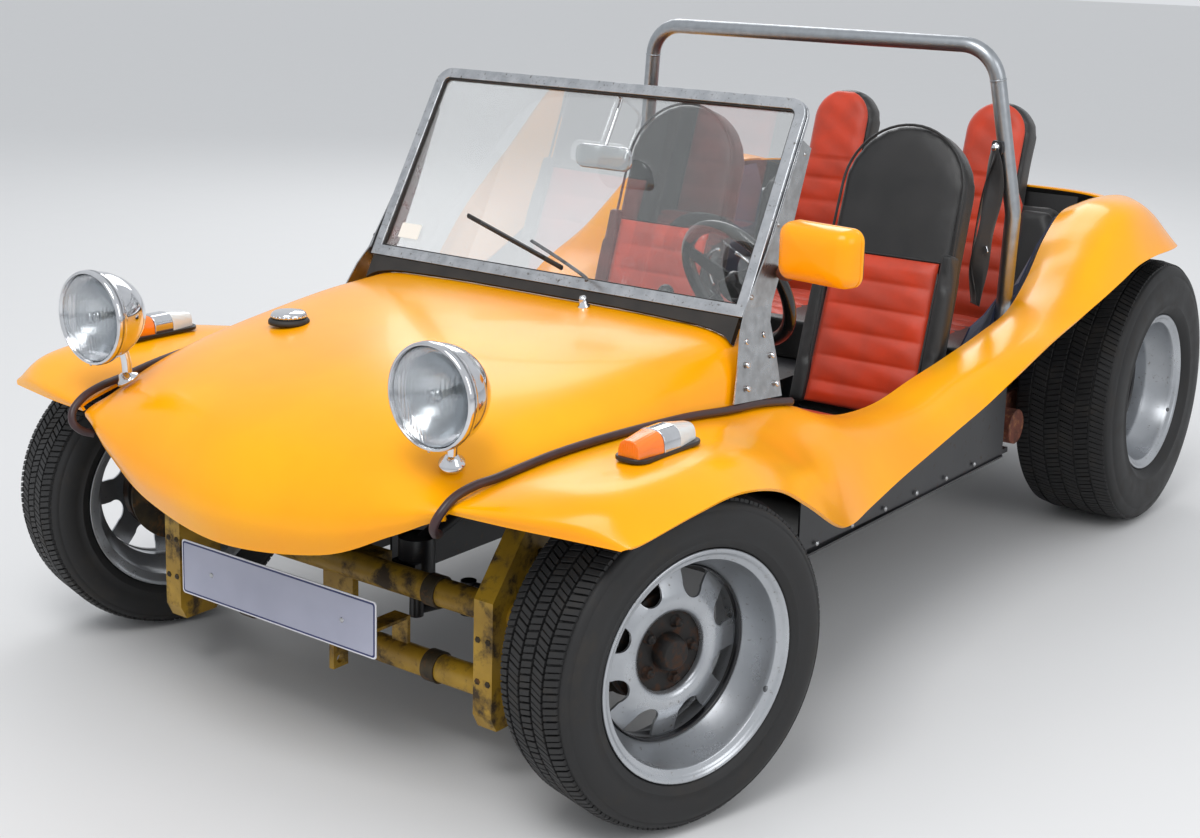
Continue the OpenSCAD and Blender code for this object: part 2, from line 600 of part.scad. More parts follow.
// ---- front suspension ----
beam_s = -125;
lower_z = 180;
upper_z = lower_z + beam_spacing;
tower_x = 396;
tower_w = 44;
beam_half = tower_x + tower_w + 6;
tower_points = [[-190, 150], [-175, 122], [-95, 122], [-80, 150], [-80, 380], [-10, 470], [25, 560], [-45, 560], [-75, 515],
    [-190, 370]];
tower_side = [for (p = tower_points) [lay(p[0]), p[1]]];
eye_r = 9;
module front_beam() {
    color("#a8801c") {
        for (z = [lower_z, upper_z]) rod([-beam_half, lay(beam_s), z], [beam_half, lay(beam_s), z], beam_r);
        both() {
            plate_x(tower_x + tower_w - 6, 6, tower_side);
            plate_x(tower_x, 6, tower_side);
            difference() {
                plate_x(tower_x, tower_w, tower_side);
                translate([0, 6, 0]) plate_x(tower_x - 5, tower_w + 10, tower_side);
            }
        }
        // centre web, and the frame head that meets the floor's tunnel
        block([-40, lay(beam_s) - 8, lower_z], [40, lay(beam_s) + 8, upper_z]);
        block([-tunnel_half, lay(beam_s), upper_z - 20], [tunnel_half, lay(tunnel_front_s), upper_z + 20]);
        // number plate struts
        both() {
            block([140, lay(plate_s) + plate_t, 256], [180, lay(beam_s), 262]);
            block([140, lay(beam_s) - 4, lower_z], [180, lay(beam_s) + 4, 262]);
        }
        // towing lug
        difference() {
            block([-6, lay(beam_s) - 26, lower_z - beam_r - 40], [6, lay(beam_s) + 14, lower_z]);
            translate([-7, lay(beam_s) - 8, lower_z - beam_r - 22]) rotate([0, 90, 0]) cylinder(h = 14, r = eye_r);
        }
    }
}

kp_x = kingpin_span / 2;
kp = [kp_x, front_y, front_tyre_r];
carrier_r = 20;
kingpin_r = 9;
arm_boss_r = 24;
arm_r = 9;
arm_rise = 8;
carrier_low = 214;
carrier_high = 374;
arm_eye_h = 24;
arm_gap = 1;
arm_x = beam_half + slip;
// Height of each trailing arm's eye, one under and one over the wheel carrier
function eye_mid(z) = z == upper_z ? carrier_high + arm_gap + arm_eye_h / 2 : carrier_low - arm_gap - arm_eye_h / 2;
module trailing_arms() {
    color("#5c4a20") both() for (z = [lower_z, upper_z]) difference() {
        union() {
            rod([arm_x, lay(beam_s), z], [arm_x + 30, lay(beam_s), z], arm_boss_r);
            rod([arm_x + 15, lay(beam_s), z], [kp_x, front_y, eye_mid(z) + (z == upper_z ? arm_rise : 0)], arm_r);
            translate([kp_x, front_y, eye_mid(z) - arm_eye_h / 2]) cylinder(h = arm_eye_h, r = carrier_r);
        }
        translate([kp_x, front_y, eye_mid(z) - arm_eye_h]) cylinder(h = 2 * arm_eye_h, r = kingpin_r + fit);
    }
}
damper_r = 20;
module dampers() {
    color("#2a2a2c") both() {
        rod([tower_x + tower_w + damper_r + slip, lay(-74), 226], [tower_x + tower_w + damper_r + slip, lay(-58), 440], damper_r);
        rod([440, rear_y + axle_tube_r + 16.6, rear_tyre_r - 34], [440, lay(2335), 620], 24);
    }
    color("#2a2a2c") rod([-460, lay(2335), 635], [460, lay(2335), 635], 14);
}

// ---- rear suspension and drive ----
spring_x = 489;
module torsion_housing() {
    color("#6a3a2c") rod([-600, lay(torsion_s), torsion_z], [600, lay(torsion_s), torsion_z], torsion_r);
    color("#2a2a2c") both() plate_x(spring_x, 7, [[lay(torsion_s) + torsion_r - 6, torsion_z - 30], [rear_y - axle_tube_r - slip, 330],
        [rear_y - axle_tube_r - slip, 378], [lay(torsion_s) + torsion_r - 6, torsion_z + 30]]);
}
hub_in = 558;
stub_r = 16;
module swing_axles() {
    color("#2a2a2c") both() {
        rod([gearbox_half + slip, rear_y, rear_tyre_r], [hub_in, rear_y, rear_tyre_r], axle_tube_r);
        rod([hub_in - 10, rear_y, rear_tyre_r], [hub_in, rear_y, rear_tyre_r], 60);
        rod([hub_in - 1, rear_y, rear_tyre_r], [hub_in + 60, rear_y, rear_tyre_r], stub_r);
    }
}
gearbox_half = 130;
nose_r = 42;
bell_r = 165;
module gearbox() {
    color("#8a8c8e") {
        rod([0, lay(torsion_s) + torsion_r + slip, 346], [0, lay(2168), 346], nose_r);
        rod([0, lay(2167), rear_tyre_r], [0, lay(2331), rear_tyre_r], 76);
        rod([-gearbox_half, rear_y, rear_tyre_r], [gearbox_half, rear_y, rear_tyre_r], 60);
        rod([0, lay(2330), rear_tyre_r], [0, lay(2370), rear_tyre_r], bell_r);
    }
}
engine_z = 354;
module engine() {
    color("#77797b") {
        block([-120, lay(2370) + slip, 245], [120, lay(2700), 440]);
        both() for (s = [2430, 2590]) rod([110, lay(s) + 50, engine_z], [350, lay(s) + 50, engine_z - 10], 58);
        both() block([350, lay(2420), 270], [400, lay(2700), 430]);
        rod([0, lay(2699), engine_z], [0, lay(2725), engine_z], 85);
    }
}
module fan_shroud() {
    color("#1c1c1f") {
        rod([0, lay(2440), 575], [0, lay(2540), 575], 130);
        block([-290, lay(2450), 440 + slip], [290, lay(2530), 540]);
    }
}
muffler_s = 2780;
muffler_r = 50;
muffler_z = 268;
module exhaust() {
    color("#5a5550") {
        rod([-310, lay(muffler_s), muffler_z], [310, lay(muffler_s), muffler_z], muffler_r);
        both() {
            rod_chain([[300, lay(muffler_s), muffler_z], [375, lay(2772), 300], [375, lay(2740), 340],
                [375, lay(2700) + slip, 340]], 20);
            rod([120, lay(muffler_s), 262], [120, lay(tail_pipe_s), 252], 16);
        }
    }
}
tail_pipe_s = 2868.8;

// ---- steering linkage ----
tie_z = 245;
tie_gap = 26;
tie_eye_h = 18;
knuckle_eye_h = 24;
link_r = 8;
link_eye_r = 16;
stud_r = 6;
pitman_r = 14;
open_gap = 0.4;
arm_tip = [steer_arm * sin(parked_steer), steer_arm * cos(parked_steer), 0];
pitman_axis = [box_x, lay(-60), tie_z];
module turned_with_wheel(side) {
    translate([side * kp_x, front_y, 0]) rotate([0, 0, -parked_steer]) children();
}
plate_in = 30;
module knuckle(side) {
    color("#5c4a20") turned_with_wheel(side) difference() {
        union() {
            translate([0, 0, carrier_low]) cylinder(h = carrier_high - carrier_low, r = carrier_r);
            translate([0, 0, carrier_low - arm_eye_h]) cylinder(h = carrier_high - carrier_low + 2 * arm_eye_h, r = kingpin_r);
            rod([0, 0, front_tyre_r], [side * plate_in, 0, front_tyre_r], 26);
            rod([side * plate_in, 0, front_tyre_r], [side * (plate_in + 8), 0, front_tyre_r], 108);
            rod([side * plate_in, 0, front_tyre_r], [side * 98, 0, front_tyre_r], stub_r);
            rod([0, 0, tie_z], [0, steer_arm, tie_z], 10);
            translate([0, steer_arm, tie_z - knuckle_eye_h / 2]) cylinder(h = knuckle_eye_h, r = link_eye_r);
        }
        translate([0, steer_arm, tie_z - knuckle_eye_h]) cylinder(h = 2 * knuckle_eye_h, r = stud_r + fit);
    }
}
// up is 1 where the rod runs over the arms' eyes and its studs reach down, and -1 under them.
module tie_rod(side, up) {
    z = tie_z + up * tie_gap;
    outer = [side * kp_x, front_y, z] + arm_tip;
    inner = [pitman_axis[0], pitman_axis[1], z] + arm_tip;
    color("#2a2a2c") {
        translate(outer - [0, 0, tie_eye_h / 2]) cylinder(h = tie_eye_h, r = link_eye_r);
        rod(outer, inner, link_r);
        translate(inner - [0, 0, tie_eye_h / 2]) cylinder(h = tie_eye_h, r = link_eye_r);
        rod(outer, outer - [0, 0, up * tie_gap], stud_r);
        rod(inner, inner - [0, 0, up * (tie_gap - 1)], stud_r);
    }
}
module pitman_arm() {
    color("#5c4a20") difference() {
        union() {
            translate(pitman_axis - [0, 0, 12]) cylinder(h = 94, r = pitman_r);
            rod(pitman_axis, pitman_axis + arm_tip, 10);
            translate(pitman_axis + arm_tip - [0, 0, knuckle_eye_h / 2]) cylinder(h = knuckle_eye_h, r = link_eye_r);
        }
        translate(pitman_axis + arm_tip - [0, 0, knuckle_eye_h]) cylinder(h = 2 * knuckle_eye_h, r = stud_r + open_gap);
    }
}
module knuckle_left() {
    knuckle(1);
}
module knuckle_right() {
    knuckle(-1);
}
module tie_rod_left() {
    tie_rod(1, 1);
}
module tie_rod_right() {
    tie_rod(-1, -1);
}
module steering_wheel() {
    lean = acos(column_dir[2]);
    turn = atan2(column_dir[1], column_dir[0]);
    color("#1a1a1c") translate(wheel_centre) rotate([0, lean, turn]) {
        rotate_extrude() translate([steering_r - steering_grip, 0]) circle(r = steering_grip);
        translate([0, 0, -50]) cylinder(h = 60, r = 28);
        translate([0, 0, -112]) cylinder(h = 70, r = shaft_r);
        for (a = [0, 120, 240]) rotate([0, 0, a]) translate([20, -12, -4]) cube([steering_r - steering_grip - 24, 24, 8]);
    }
}

// ---- wheels ----
// Sections are drawn as [radius, distance outboard] from the inner flange.
flange_t = 5;
bead_r_in = 190;
well_r = 166;
function rim_section(w) = [[rim_r, 0], [rim_r, flange_t], [bead_r_in + 4, flange_t + 6], [bead_r_in, 40], [well_r, 62],
    [well_r, w - 80], [bead_r_in, w - 50], [bead_r_in + 4, w - flange_t - 6], [rim_r, w - flange_t], [rim_r, w],
    [rim_r - 8, w], [bead_r_in - 2, w - 14], [bead_r_in - 6, w - 52], [well_r - 6, w - 84], [well_r - 6, 66],
    [bead_r_in - 6, 42], [bead_r_in - 2, 8], [rim_r - 8, 0]];
module rim(w, disc_at, hub_r, drum_h, bore_end) {
    rotate_extrude($fn = 96) polygon(rim_section(w));
    difference() {
        union() {
            difference() {
                translate([0, 0, disc_at]) cylinder(h = disc_t, r = well_r - 5);
                for (k = [0 : rim_windows - 1]) rotate([0, 0, 360 * (k + 0.5) / rim_windows])
                    translate([window_r, 0, disc_at - 1]) cylinder(h = disc_t + 2, r = 22);
            }
            translate([0, 0, disc_at - 4]) cylinder(h = 44, r = hub_r);
            translate([0, 0, disc_at - drum_h]) cylinder(h = drum_h + 1, r = drum_r);
        }
        translate([0, 0, disc_at - drum_h - 1]) cylinder(h = bore_end + 1, r = stub_r + fit);
    }
}
disc_t = 12;
window_r = 130;
drum_r = 104;
// A tyre's section on a rim rim_w wide, as [radius, distance from its middle]
function tyre_section(r, w, rim_w) = let (b = bead_r_in + 0.4, m = w / 2, seat = rim_w / 2, rise = r - rim_r,
    half = [[b, seat - 50], [b + 4.1, seat - flange_t - 7], [rim_r + 0.4, seat - flange_t - 0.6],
        [rim_r + 2, seat - flange_t + 1], [rim_r + rise * 0.25, m - 2], [rim_r + rise * 0.5, m],
        [rim_r + rise * 0.75, m - 5], [r - 13, m - 15], [r - 5, m - 27], [r, m - 48]])
    concat([for (p = half) [p[0], -p[1]]], [for (i = [len(half) - 1 : -1 : 0]) half[i]]);
module on_front_axle(side) {
    turned_with_wheel(side) translate([0, 0, front_tyre_r]) rotate([0, side * 90, 0]) children();
}
module on_rear_axle(side) {
    translate([side * rear_rim_span / 2, rear_y, rear_tyre_r]) rotate([0, side * 90, 0]) children();
}
front_rim_w = 186;
front_disc = 92;
rear_disc = 106;
running_gap = 5;
rear_rim_w = 236;
module tyre(r, w, rim_w, middle) {
    color("#1e1e20") rotate_extrude($fn = 96) translate([0, middle]) polygon(tyre_section(r, w, rim_w));
}
module front_tyre(side) {
    on_front_axle(side) tyre(front_tyre_r, front_tyre_w, front_rim_w, front_rim_out - front_rim_w / 2);
}
module rear_tyre(side) {
    on_rear_axle(side) tyre(rear_tyre_r, rear_tyre_w, rear_rim_w, -rear_rim_w / 2);
}
module front_wheel(side) {
    color("#9da0a3") on_front_axle(side) translate([0, 0, front_rim_out - front_rim_w])
        rim(front_rim_w, front_disc, 58, front_disc + front_rim_out - front_rim_w - plate_in - 8 - running_gap, 60);
}
module rear_wheel(side) {
    color("#9da0a3") on_rear_axle(side) translate([0, 0, -rear_rim_w])
        rim(rear_rim_w, rear_disc, 58, rear_disc + rear_rim_span / 2 - rear_rim_w - hub_in - running_gap, 62);
}
module tyre_front_left() {
    front_tyre(1);
}
module tyre_front_right() {
    front_tyre(-1);
}
module tyre_rear_left() {
    rear_tyre(1);
}
module tyre_rear_right() {
    rear_tyre(-1);
}
module wheel_front_left() {
    front_wheel(1);
}
module wheel_front_right() {
    front_wheel(-1);
}
module wheel_rear_left() {
    rear_wheel(1);
}
module wheel_rear_right() {
    rear_wheel(-1);
}

floor_pan();
side_panels();
cockpit_tub();
body_side_left();
body_side_right();
tail_body();
bonnet();
bonnet_beading();
dashboard();
wheel_wells();
windscreen_frame();
windscreen_glass();
windscreen_seal();
windscreen_brackets();
wiper();
interior_mirror();
door_mirror();
headlamps();
headlamp_lenses();
front_indicators();
tail_lamps();
number_plates();
filler_cap();
driver_seat();
passenger_seat();
rear_seat_backs();
rear_seat_cushion();
roll_hoop();
seat_belt();
driver_controls();
steering_column();
front_beam();
trailing_arms();
dampers();
torsion_housing();
swing_axles();
gearbox();
engine();
fan_shroud();
exhaust();
knuckle_left();
knuckle_right();
tie_rod_left();
tie_rod_right();
pitman_arm();
steering_wheel();
tyre_front_left();
tyre_front_right();
tyre_rear_left();
tyre_rear_right();
wheel_front_left();
wheel_front_right();
wheel_rear_left();
wheel_rear_right();
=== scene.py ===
"""Studio scene of an open dune buggy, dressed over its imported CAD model."""
import logging
import math
from dataclasses import dataclass, field
from enum import Enum
from typing import Callable, Optional, Sequence

import bmesh
import bpy
from mathutils import Matrix, Vector


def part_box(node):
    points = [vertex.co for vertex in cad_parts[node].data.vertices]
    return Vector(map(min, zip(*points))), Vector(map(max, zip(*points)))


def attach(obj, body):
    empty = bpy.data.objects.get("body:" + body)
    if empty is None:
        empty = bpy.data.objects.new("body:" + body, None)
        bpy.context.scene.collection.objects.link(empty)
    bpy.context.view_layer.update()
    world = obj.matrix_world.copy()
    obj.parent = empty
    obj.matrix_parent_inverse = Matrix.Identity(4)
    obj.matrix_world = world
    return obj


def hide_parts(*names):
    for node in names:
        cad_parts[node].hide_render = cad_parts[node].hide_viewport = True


log = logging.getLogger("buggy")
MM = 0.001
FRONT_Y = -1210.8
REAR_Y = 979.2
Grid = list[list[Vector]]
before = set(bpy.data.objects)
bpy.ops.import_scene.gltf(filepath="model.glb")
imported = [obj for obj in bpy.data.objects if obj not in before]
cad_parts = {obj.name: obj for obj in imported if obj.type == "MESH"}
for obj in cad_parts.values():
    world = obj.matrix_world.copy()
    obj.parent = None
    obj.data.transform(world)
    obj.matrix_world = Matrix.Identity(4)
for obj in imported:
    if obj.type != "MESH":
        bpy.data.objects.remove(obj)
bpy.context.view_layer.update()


def linear(code: str) -> tuple[float, float, float, float]:
    """Turns an sRGB hex colour into linear RGBA."""
    parts = [int(code[i:i + 2], 16) / 255 for i in (1, 3, 5)]
    return (*[c / 12.92 if c <= 0.04045 else ((c + 0.055) / 1.055) ** 2.4 for c in parts], 1.0)


def add_node(tree: bpy.types.NodeTree, kind: str, settings: Optional[dict] = None,
             links: Optional[dict] = None) -> bpy.types.Node:
    """Adds one shader node with its settings and links.

    Args:
        tree: The material's node tree.
        kind: The node's type, without its ShaderNode prefix.
        settings: Values by attribute name, or by input name or number.
        links: Output sockets by the input name or number that they feed.

    Returns:
        The new node.
    """
    made = tree.nodes.new("ShaderNode" + kind)
    for key, value in (settings or {}).items():
        if isinstance(key, str) and hasattr(made, key):
            setattr(made, key, value)
        else:
            made.inputs[key].default_value = value
    for key, socket in (links or {}).items():
        tree.links.new(socket, made.inputs[key])
    return made


class Pattern(Enum):
    """How a surface's fine relief was made."""
    MOULDED = "moulded"
    BRUSHED = "brushed"
    GRAINED = "grained"
    WOVEN = "woven"
    SPANGLED = "spangled"
    FLUTED = "fluted"


@dataclass(frozen=True)
class Finish:
    """One material: its base, how its surface was made, and how it has aged.

    grain_mm and grain_depth_mm size the fine relief. drift is a second colour in patches of drift_mm,
    and soil is a dirt or rust colour that covers soil_share of the surface in patches of soil_mm.
    """
    name: str
    hue: str
    rough: float
    metallic: float = 0.0
    ior: float = 1.5
    coat: float = 0.0
    coat_rough: float = 0.04
    sheen: float = 0.0
    transmission: float = 0.0
    alpha: float = 1.0
    pattern: Pattern = Pattern.MOULDED
    grain_mm: float = 2.5
    grain_depth_mm: float = 0.05
    drift: str = ""
    drift_mm: float = 150.0
    rough_spread: float = 0.06
    soil: str = ""
    soil_mm: float = 40.0
    soil_share: float = 0.3
    soil_rough: float = 0.75

    def relief(self, tree: bpy.types.NodeTree, place: bpy.types.NodeSocket) -> bpy.types.NodeSocket:
        """Adds the height pattern of the surface.

        Args:
            tree: The material's node tree.
            place: Position on the object, in metres.

        Returns:
            The height socket.
        """
        scale = 1000 / self.grain_mm
        if self.pattern is Pattern.GRAINED:
            cells = add_node(tree, "TexVoronoi", {"feature": "DISTANCE_TO_EDGE", "Scale": scale},
                             {"Vector": place})
            return add_node(tree, "MapRange", {"From Max": 0.25},
                            {"Value": cells.outputs["Distance"]}).outputs[0]
        if self.pattern is Pattern.SPANGLED:
            cells = add_node(tree, "TexVoronoi", {"Scale": scale}, {"Vector": place})
            return cells.outputs["Distance"]
        if self.pattern in (Pattern.WOVEN, Pattern.FLUTED):
            way = "Z" if self.pattern is Pattern.WOVEN else "X"
            ribs = add_node(tree, "TexWave", {"bands_direction": way, "Scale": scale / 6.2832 * 2,
                                              "Distortion": 0.0}, {"Vector": place})
            return ribs.outputs["Fac"]
        if self.pattern is Pattern.BRUSHED:
            place = add_node(tree, "Mapping", {"Scale": (0.06, 1.0, 1.0)}, {"Vector": place}).outputs[0]
        grain = add_node(tree, "TexNoise", {"Scale": scale, "Detail": 3.0}, {"Vector": place})
        return grain.outputs["Fac"]

    def build(self) -> bpy.types.Material:
        """Makes the material, or finds it where it was made before."""
        made = bpy.data.materials.get(self.name)
        if made:
            return made
        made = bpy.data.materials.new(self.name)
        made.use_nodes = True
        tree = made.node_tree
        shader = tree.nodes["Principled BSDF"]
        fixed = {"Metallic": self.metallic, "Coat Weight": self.coat, "Coat Roughness": self.coat_rough,
                 "Sheen Weight": self.sheen, "Transmission Weight": self.transmission, "Alpha": self.alpha}
        if not self.metallic:
            fixed["IOR"] = self.ior
        for key, value in fixed.items():
            shader.inputs[key].default_value = value
        shader.inputs["Base Color"].default_value = linear(self.hue)
        shader.inputs["Roughness"].default_value = self.rough
        if not (self.drift or self.rough_spread or self.soil or self.grain_depth_mm):
            return made
        place = add_node(tree, "TexCoord").outputs["Object"]
        colour = rough = None
        if self.drift or self.rough_spread:
            patches = add_node(tree, "TexNoise", {"Scale": 1000 / self.drift_mm, "Detail": 4.0},
                               {"Vector": place})
        if self.drift:
            share = add_node(tree, "MapRange", {"From Min": 0.35, "From Max": 0.65},
                             {"Value": patches.outputs["Fac"]})
            colour = add_node(tree, "Mix", {"data_type": "RGBA", 6: linear(self.hue), 7: linear(self.drift)},
                              {0: share.outputs[0]}).outputs[2]
        if self.rough_spread:
            rough = add_node(tree, "MapRange", {"From Min": 0.3, "From Max": 0.7,
                                                "To Min": self.rough - self.rough_spread,
                                                "To Max": self.rough + self.rough_spread},
                             {"Value": patches.outputs["Fac"]}).outputs[0]
        if self.soil:
            spots = add_node(tree, "TexNoise", {"Scale": 1000 / self.soil_mm, "Detail": 8.0,
                                                "Roughness": 0.65},
                             {"Vector": place})
            edge = 0.66 - 0.32 * self.soil_share
            cover = add_node(tree, "MapRange", {"From Min": edge - 0.05, "From Max": edge + 0.09},
                             {"Value": spots.outputs["Fac"]}).outputs[0]
            under = {6: colour} if colour else {}
            colour = add_node(tree, "Mix", {"data_type": "RGBA", 6: linear(self.hue), 7: linear(self.soil)},
                              {0: cover, **under}).outputs[2]
            under = {2: rough} if rough else {}
            rough = add_node(tree, "Mix", {2: self.rough, 3: self.soil_rough}, {0: cover, **under}).outputs[0]
        if colour:
            tree.links.new(colour, shader.inputs["Base Color"])
        if rough:
            tree.links.new(rough, shader.inputs["Roughness"])
        if self.grain_depth_mm:
            bump = add_node(tree, "Bump", {"Strength": 1.0, "Distance": self.grain_depth_mm * MM},
                            {"Height": self.relief(tree, place)})
            tree.links.new(bump.outputs[0], shader.inputs["Normal"])
        return made


# Gelcoat: polished mould finish, so a deep wet gloss with a faint orange peel.
# Its drift colour is painted shade: a deeper orange laid in large random patches, standing in for the deep
# orange of the shaded sides.
GELCOAT = Finish("gelcoat_polished", "#ffae00", 0.24, coat=0.1, ior=1.38, grain_mm=9, grain_depth_mm=0.018,
                 drift="#ffa000", drift_mm=400, rough_spread=0.03)
# Raw laminate inside the shell: dark brushed-on topcoat, dull and lumpy.
LAMINATE = Finish("laminate_topcoat", "#1d1b1a", 0.7, grain_mm=6, grain_depth_mm=0.5, drift="#2b2724")
# Extruded EPDM: satin black that greys with dust.
RUBBER = Finish("epdm_extruded", "#1a1918", 0.62, grain_mm=1.2, grain_depth_mm=0.05, drift="#2b2927",
                drift_mm=60)
# Aged PVC beading: brown-plum with a soft shine.
BEADING = Finish("pvc_beading_aged", "#2f1c1e", 0.42, grain_mm=3, grain_depth_mm=0.08, drift="#3d2527",
                 drift_mm=40)
# Chrome plate: mirror bright, with a trace of pitting.
CHROME = Finish("chrome_plate", "#dcdde0", 0.07, metallic=1.0, grain_mm=6, grain_depth_mm=0.004,
                drift="#c9cacd",
                drift_mm=50, rough_spread=0.035)
# Extruded aluminium, weathered: dull silver with a lengthwise grain and dark oxide specks.
ALUMINIUM = Finish("aluminium_extruded", "#c3c5c8", 0.34, metallic=1.0, pattern=Pattern.BRUSHED, grain_mm=0.9,
                   grain_depth_mm=0.012, drift="#a9acb0", drift_mm=30, soil="#6a6864", soil_mm=9,
                   soil_share=0.12)
# Cast aluminium, sand cast: pale, rough and oil stained.
CAST = Finish("aluminium_sand_cast", "#85878a", 0.5, metallic=0.9, grain_mm=2, grain_depth_mm=0.18,
              drift="#6f7173", drift_mm=60, soil="#3a352f", soil_mm=160, soil_share=0.3)
# Brushed stainless plate: bright with fine scratches.
BRUSHED = Finish("stainless_brushed", "#b9babb", 0.3, metallic=1.0, pattern=Pattern.BRUSHED, grain_mm=0.8,
                 grain_depth_mm=0.015, drift="#a2a3a4", drift_mm=25)
# Galvanised tube: grey zinc with large soft crystals.
GALVANISED = Finish("zinc_galvanised", "#a9adb1", 0.36, metallic=1.0, pattern=Pattern.SPANGLED, grain_mm=14,
                    grain_depth_mm=0.02, drift="#9da1a5", drift_mm=22, rough_spread=0.05)
# Wheel enamel over steel: silver lacquer with road film in it.
WHEEL_SILVER = Finish("wheel_lacquer_silver", "#b4b7bb", 0.3, metallic=0.75, grain_mm=1.5,
                      grain_depth_mm=0.02,
                      drift="#a6a9ad", drift_mm=120, soil="#77716a", soil_mm=9, soil_share=0.02)
# Brake drum iron: bare, brown-black and rough.
DRUM_IRON = Finish("cast_iron_bare", "#2c2a29", 0.6, metallic=0.6, grain_mm=2, grain_depth_mm=0.15,
                   soil="#4d3527", soil_mm=24, soil_share=0.35)
# Ochre chassis enamel, brushed on and grimy.
OCHRE = Finish("chassis_enamel_ochre", "#b08a22", 0.42, grain_mm=5, grain_depth_mm=0.2, drift="#927019",
               drift_mm=70,
               soil="#3d2f1c", soil_mm=55, soil_share=0.36)
# Forged arms: the same ochre under heavy oil and dirt.
GRIMY_IRON = Finish("forged_iron_grimy", "#4a3f2b", 0.6, metallic=0.3, grain_mm=3, grain_depth_mm=0.25,
                    drift="#2b251d", drift_mm=35, soil="#6b4a2a", soil_mm=20, soil_share=0.3)
# Black stoving enamel on sheet steel: satin, a few chips.
BLACK_ENAMEL = Finish("stoving_enamel_black", "#17171a", 0.36, grain_mm=5, grain_depth_mm=0.05,
                      drift="#232326",
                      soil="#4a3a2e", soil_mm=18, soil_share=0.05)
# Rust-red primer on the torsion tube.
RUST = Finish("oxide_primer_rusty", "#6b3524", 0.68, grain_mm=3, grain_depth_mm=0.2, drift="#4c281c",
              drift_mm=30,
              soil="#8a5a3a", soil_mm=14, soil_share=0.3)
# Burnt exhaust steel: brown and matte.
EXHAUST_STEEL = Finish("mild_steel_burnt", "#5d4c40", 0.6, metallic=0.7, grain_mm=3, grain_depth_mm=0.12,
                       drift="#3b322c", drift_mm=50, soil="#7d4e30", soil_mm=22, soil_share=0.4)
# Moulded ABS trim: fine haircell grain.
ABS = Finish("abs_moulded_black", "#161617", 0.5, pattern=Pattern.GRAINED, grain_mm=1.6, grain_depth_mm=0.08)
# Polished steering-wheel plastic: smooth and slightly worn bright.
GRIP = Finish("grip_plastic_polished", "#121213", 0.25, coat=0.3, grain_mm=8, grain_depth_mm=0.03)
# Expanded vinyl: leathery grain with a greasy shine.
VINYL_BLACK = Finish("vinyl_expanded_black", "#141414", 0.38, sheen=0.1, pattern=Pattern.GRAINED,
                     grain_mm=2.0,
                     grain_depth_mm=0.12, drift="#1e1d1d", drift_mm=90)
VINYL_RED = Finish("vinyl_expanded_red", "#cf3a12", 0.4, sheen=0.1, pattern=Pattern.GRAINED, grain_mm=2.0,
                   grain_depth_mm=0.12, drift="#b5371a", drift_mm=90)
# Needle-felt lining, dyed navy.
LINING = Finish("needle_felt_navy", "#1d2640", 0.9, sheen=0.3, grain_mm=1.8, grain_depth_mm=0.3,
                drift="#263050")
# Nylon webbing: ribbed weave with a dull lustre; ribs drawn at 2.4 mm so that they show.
WEBBING = Finish("nylon_webbing_black", "#151517", 0.6, sheen=0.3, pattern=Pattern.WOVEN, grain_mm=2.4,
                 grain_depth_mm=0.35)
# Tyre compound: carbon black, chalky with road dust.
TYRE = Finish("tyre_compound", "#141415", 0.62, grain_mm=2, grain_depth_mm=0.1, drift="#1b1a1a", drift_mm=60,
              soil="#282522", soil_mm=60, soil_share=0.2)
# Laminated float glass: clear, faintly green.
WINDOW = Finish("float_glass", "#eef4f1", 0.01, ior=1.45, transmission=1.0, alpha=0.22, grain_depth_mm=0.0,
                rough_spread=0.0)
# Pressed lens glass with vertical flutes.
LENS = Finish("lens_glass_fluted", "#f3f6f6", 0.04, ior=1.45, transmission=1.0, alpha=0.5,
              pattern=Pattern.FLUTED,
              grain_mm=9, grain_depth_mm=0.9, rough_spread=0.01)
# Vacuum-plated reflector: soft bright grey.
REFLECTOR = Finish("reflector_plated", "#c2c6ca", 0.2, metallic=1.0, grain_mm=12, grain_depth_mm=0.05)
# Acrylic lenses, ribbed and tinted.
AMBER = Finish("acrylic_amber", "#f07a10", 0.12, coat=0.6, pattern=Pattern.FLUTED, grain_mm=5,
               grain_depth_mm=0.35)
RED_LENS = Finish("acrylic_red", "#a8120e", 0.12, coat=0.6, pattern=Pattern.FLUTED, grain_mm=5,
                  grain_depth_mm=0.35)
CLEAR_LENS = Finish("acrylic_clear", "#d8dad8", 0.14, coat=0.6, pattern=Pattern.FLUTED, grain_mm=5,
                    grain_depth_mm=0.35)
# Reflective plate sheeting behind lacquer, with its printed edge.
PLATE_FACE = Finish("plate_sheeting", "#a6a8ba", 0.4, coat=0.3, grain_mm=1.5, grain_depth_mm=0.03,
                    drift="#9c9eb0")
PLATE_LINE = Finish("plate_ink_blue", "#20285c", 0.4, grain_depth_mm=0.0)
PLATE_EDGE = Finish("plate_edge_white", "#d9d9de", 0.4, grain_depth_mm=0.0)
# Silvered glass.
MIRROR = Finish("glass_silvered", "#e3e5e6", 0.02, metallic=1.0, grain_depth_mm=0.0, rough_spread=0.0)
# Plain paper sticker.
PAPER = Finish("paper_sticker", "#e9e7e0", 0.6, grain_mm=1, grain_depth_mm=0.02)
# Dial card: matt dark face.
DIAL = Finish("dial_card_black", "#101112", 0.7, grain_depth_mm=0.0)
# Studio floor: smooth pale vinyl sheet.
FLOOR = Finish("studio_floor", "#dcdcdc", 0.55, grain_mm=20, grain_depth_mm=0.0, rough_spread=0.03)


# ---- curves and grids ----
def bend(a: Vector, b: Vector, c: Vector, d: Vector, t: float) -> Vector:
    """A point between b and c on the smooth curve through a, b, c and d."""
    start = 2 * b + (c - a) * t + (2 * a - 5 * b + 4 * c - d) * t * t
    return 0.5 * (start + (3 * b - a - 3 * c + d) * t ** 3)


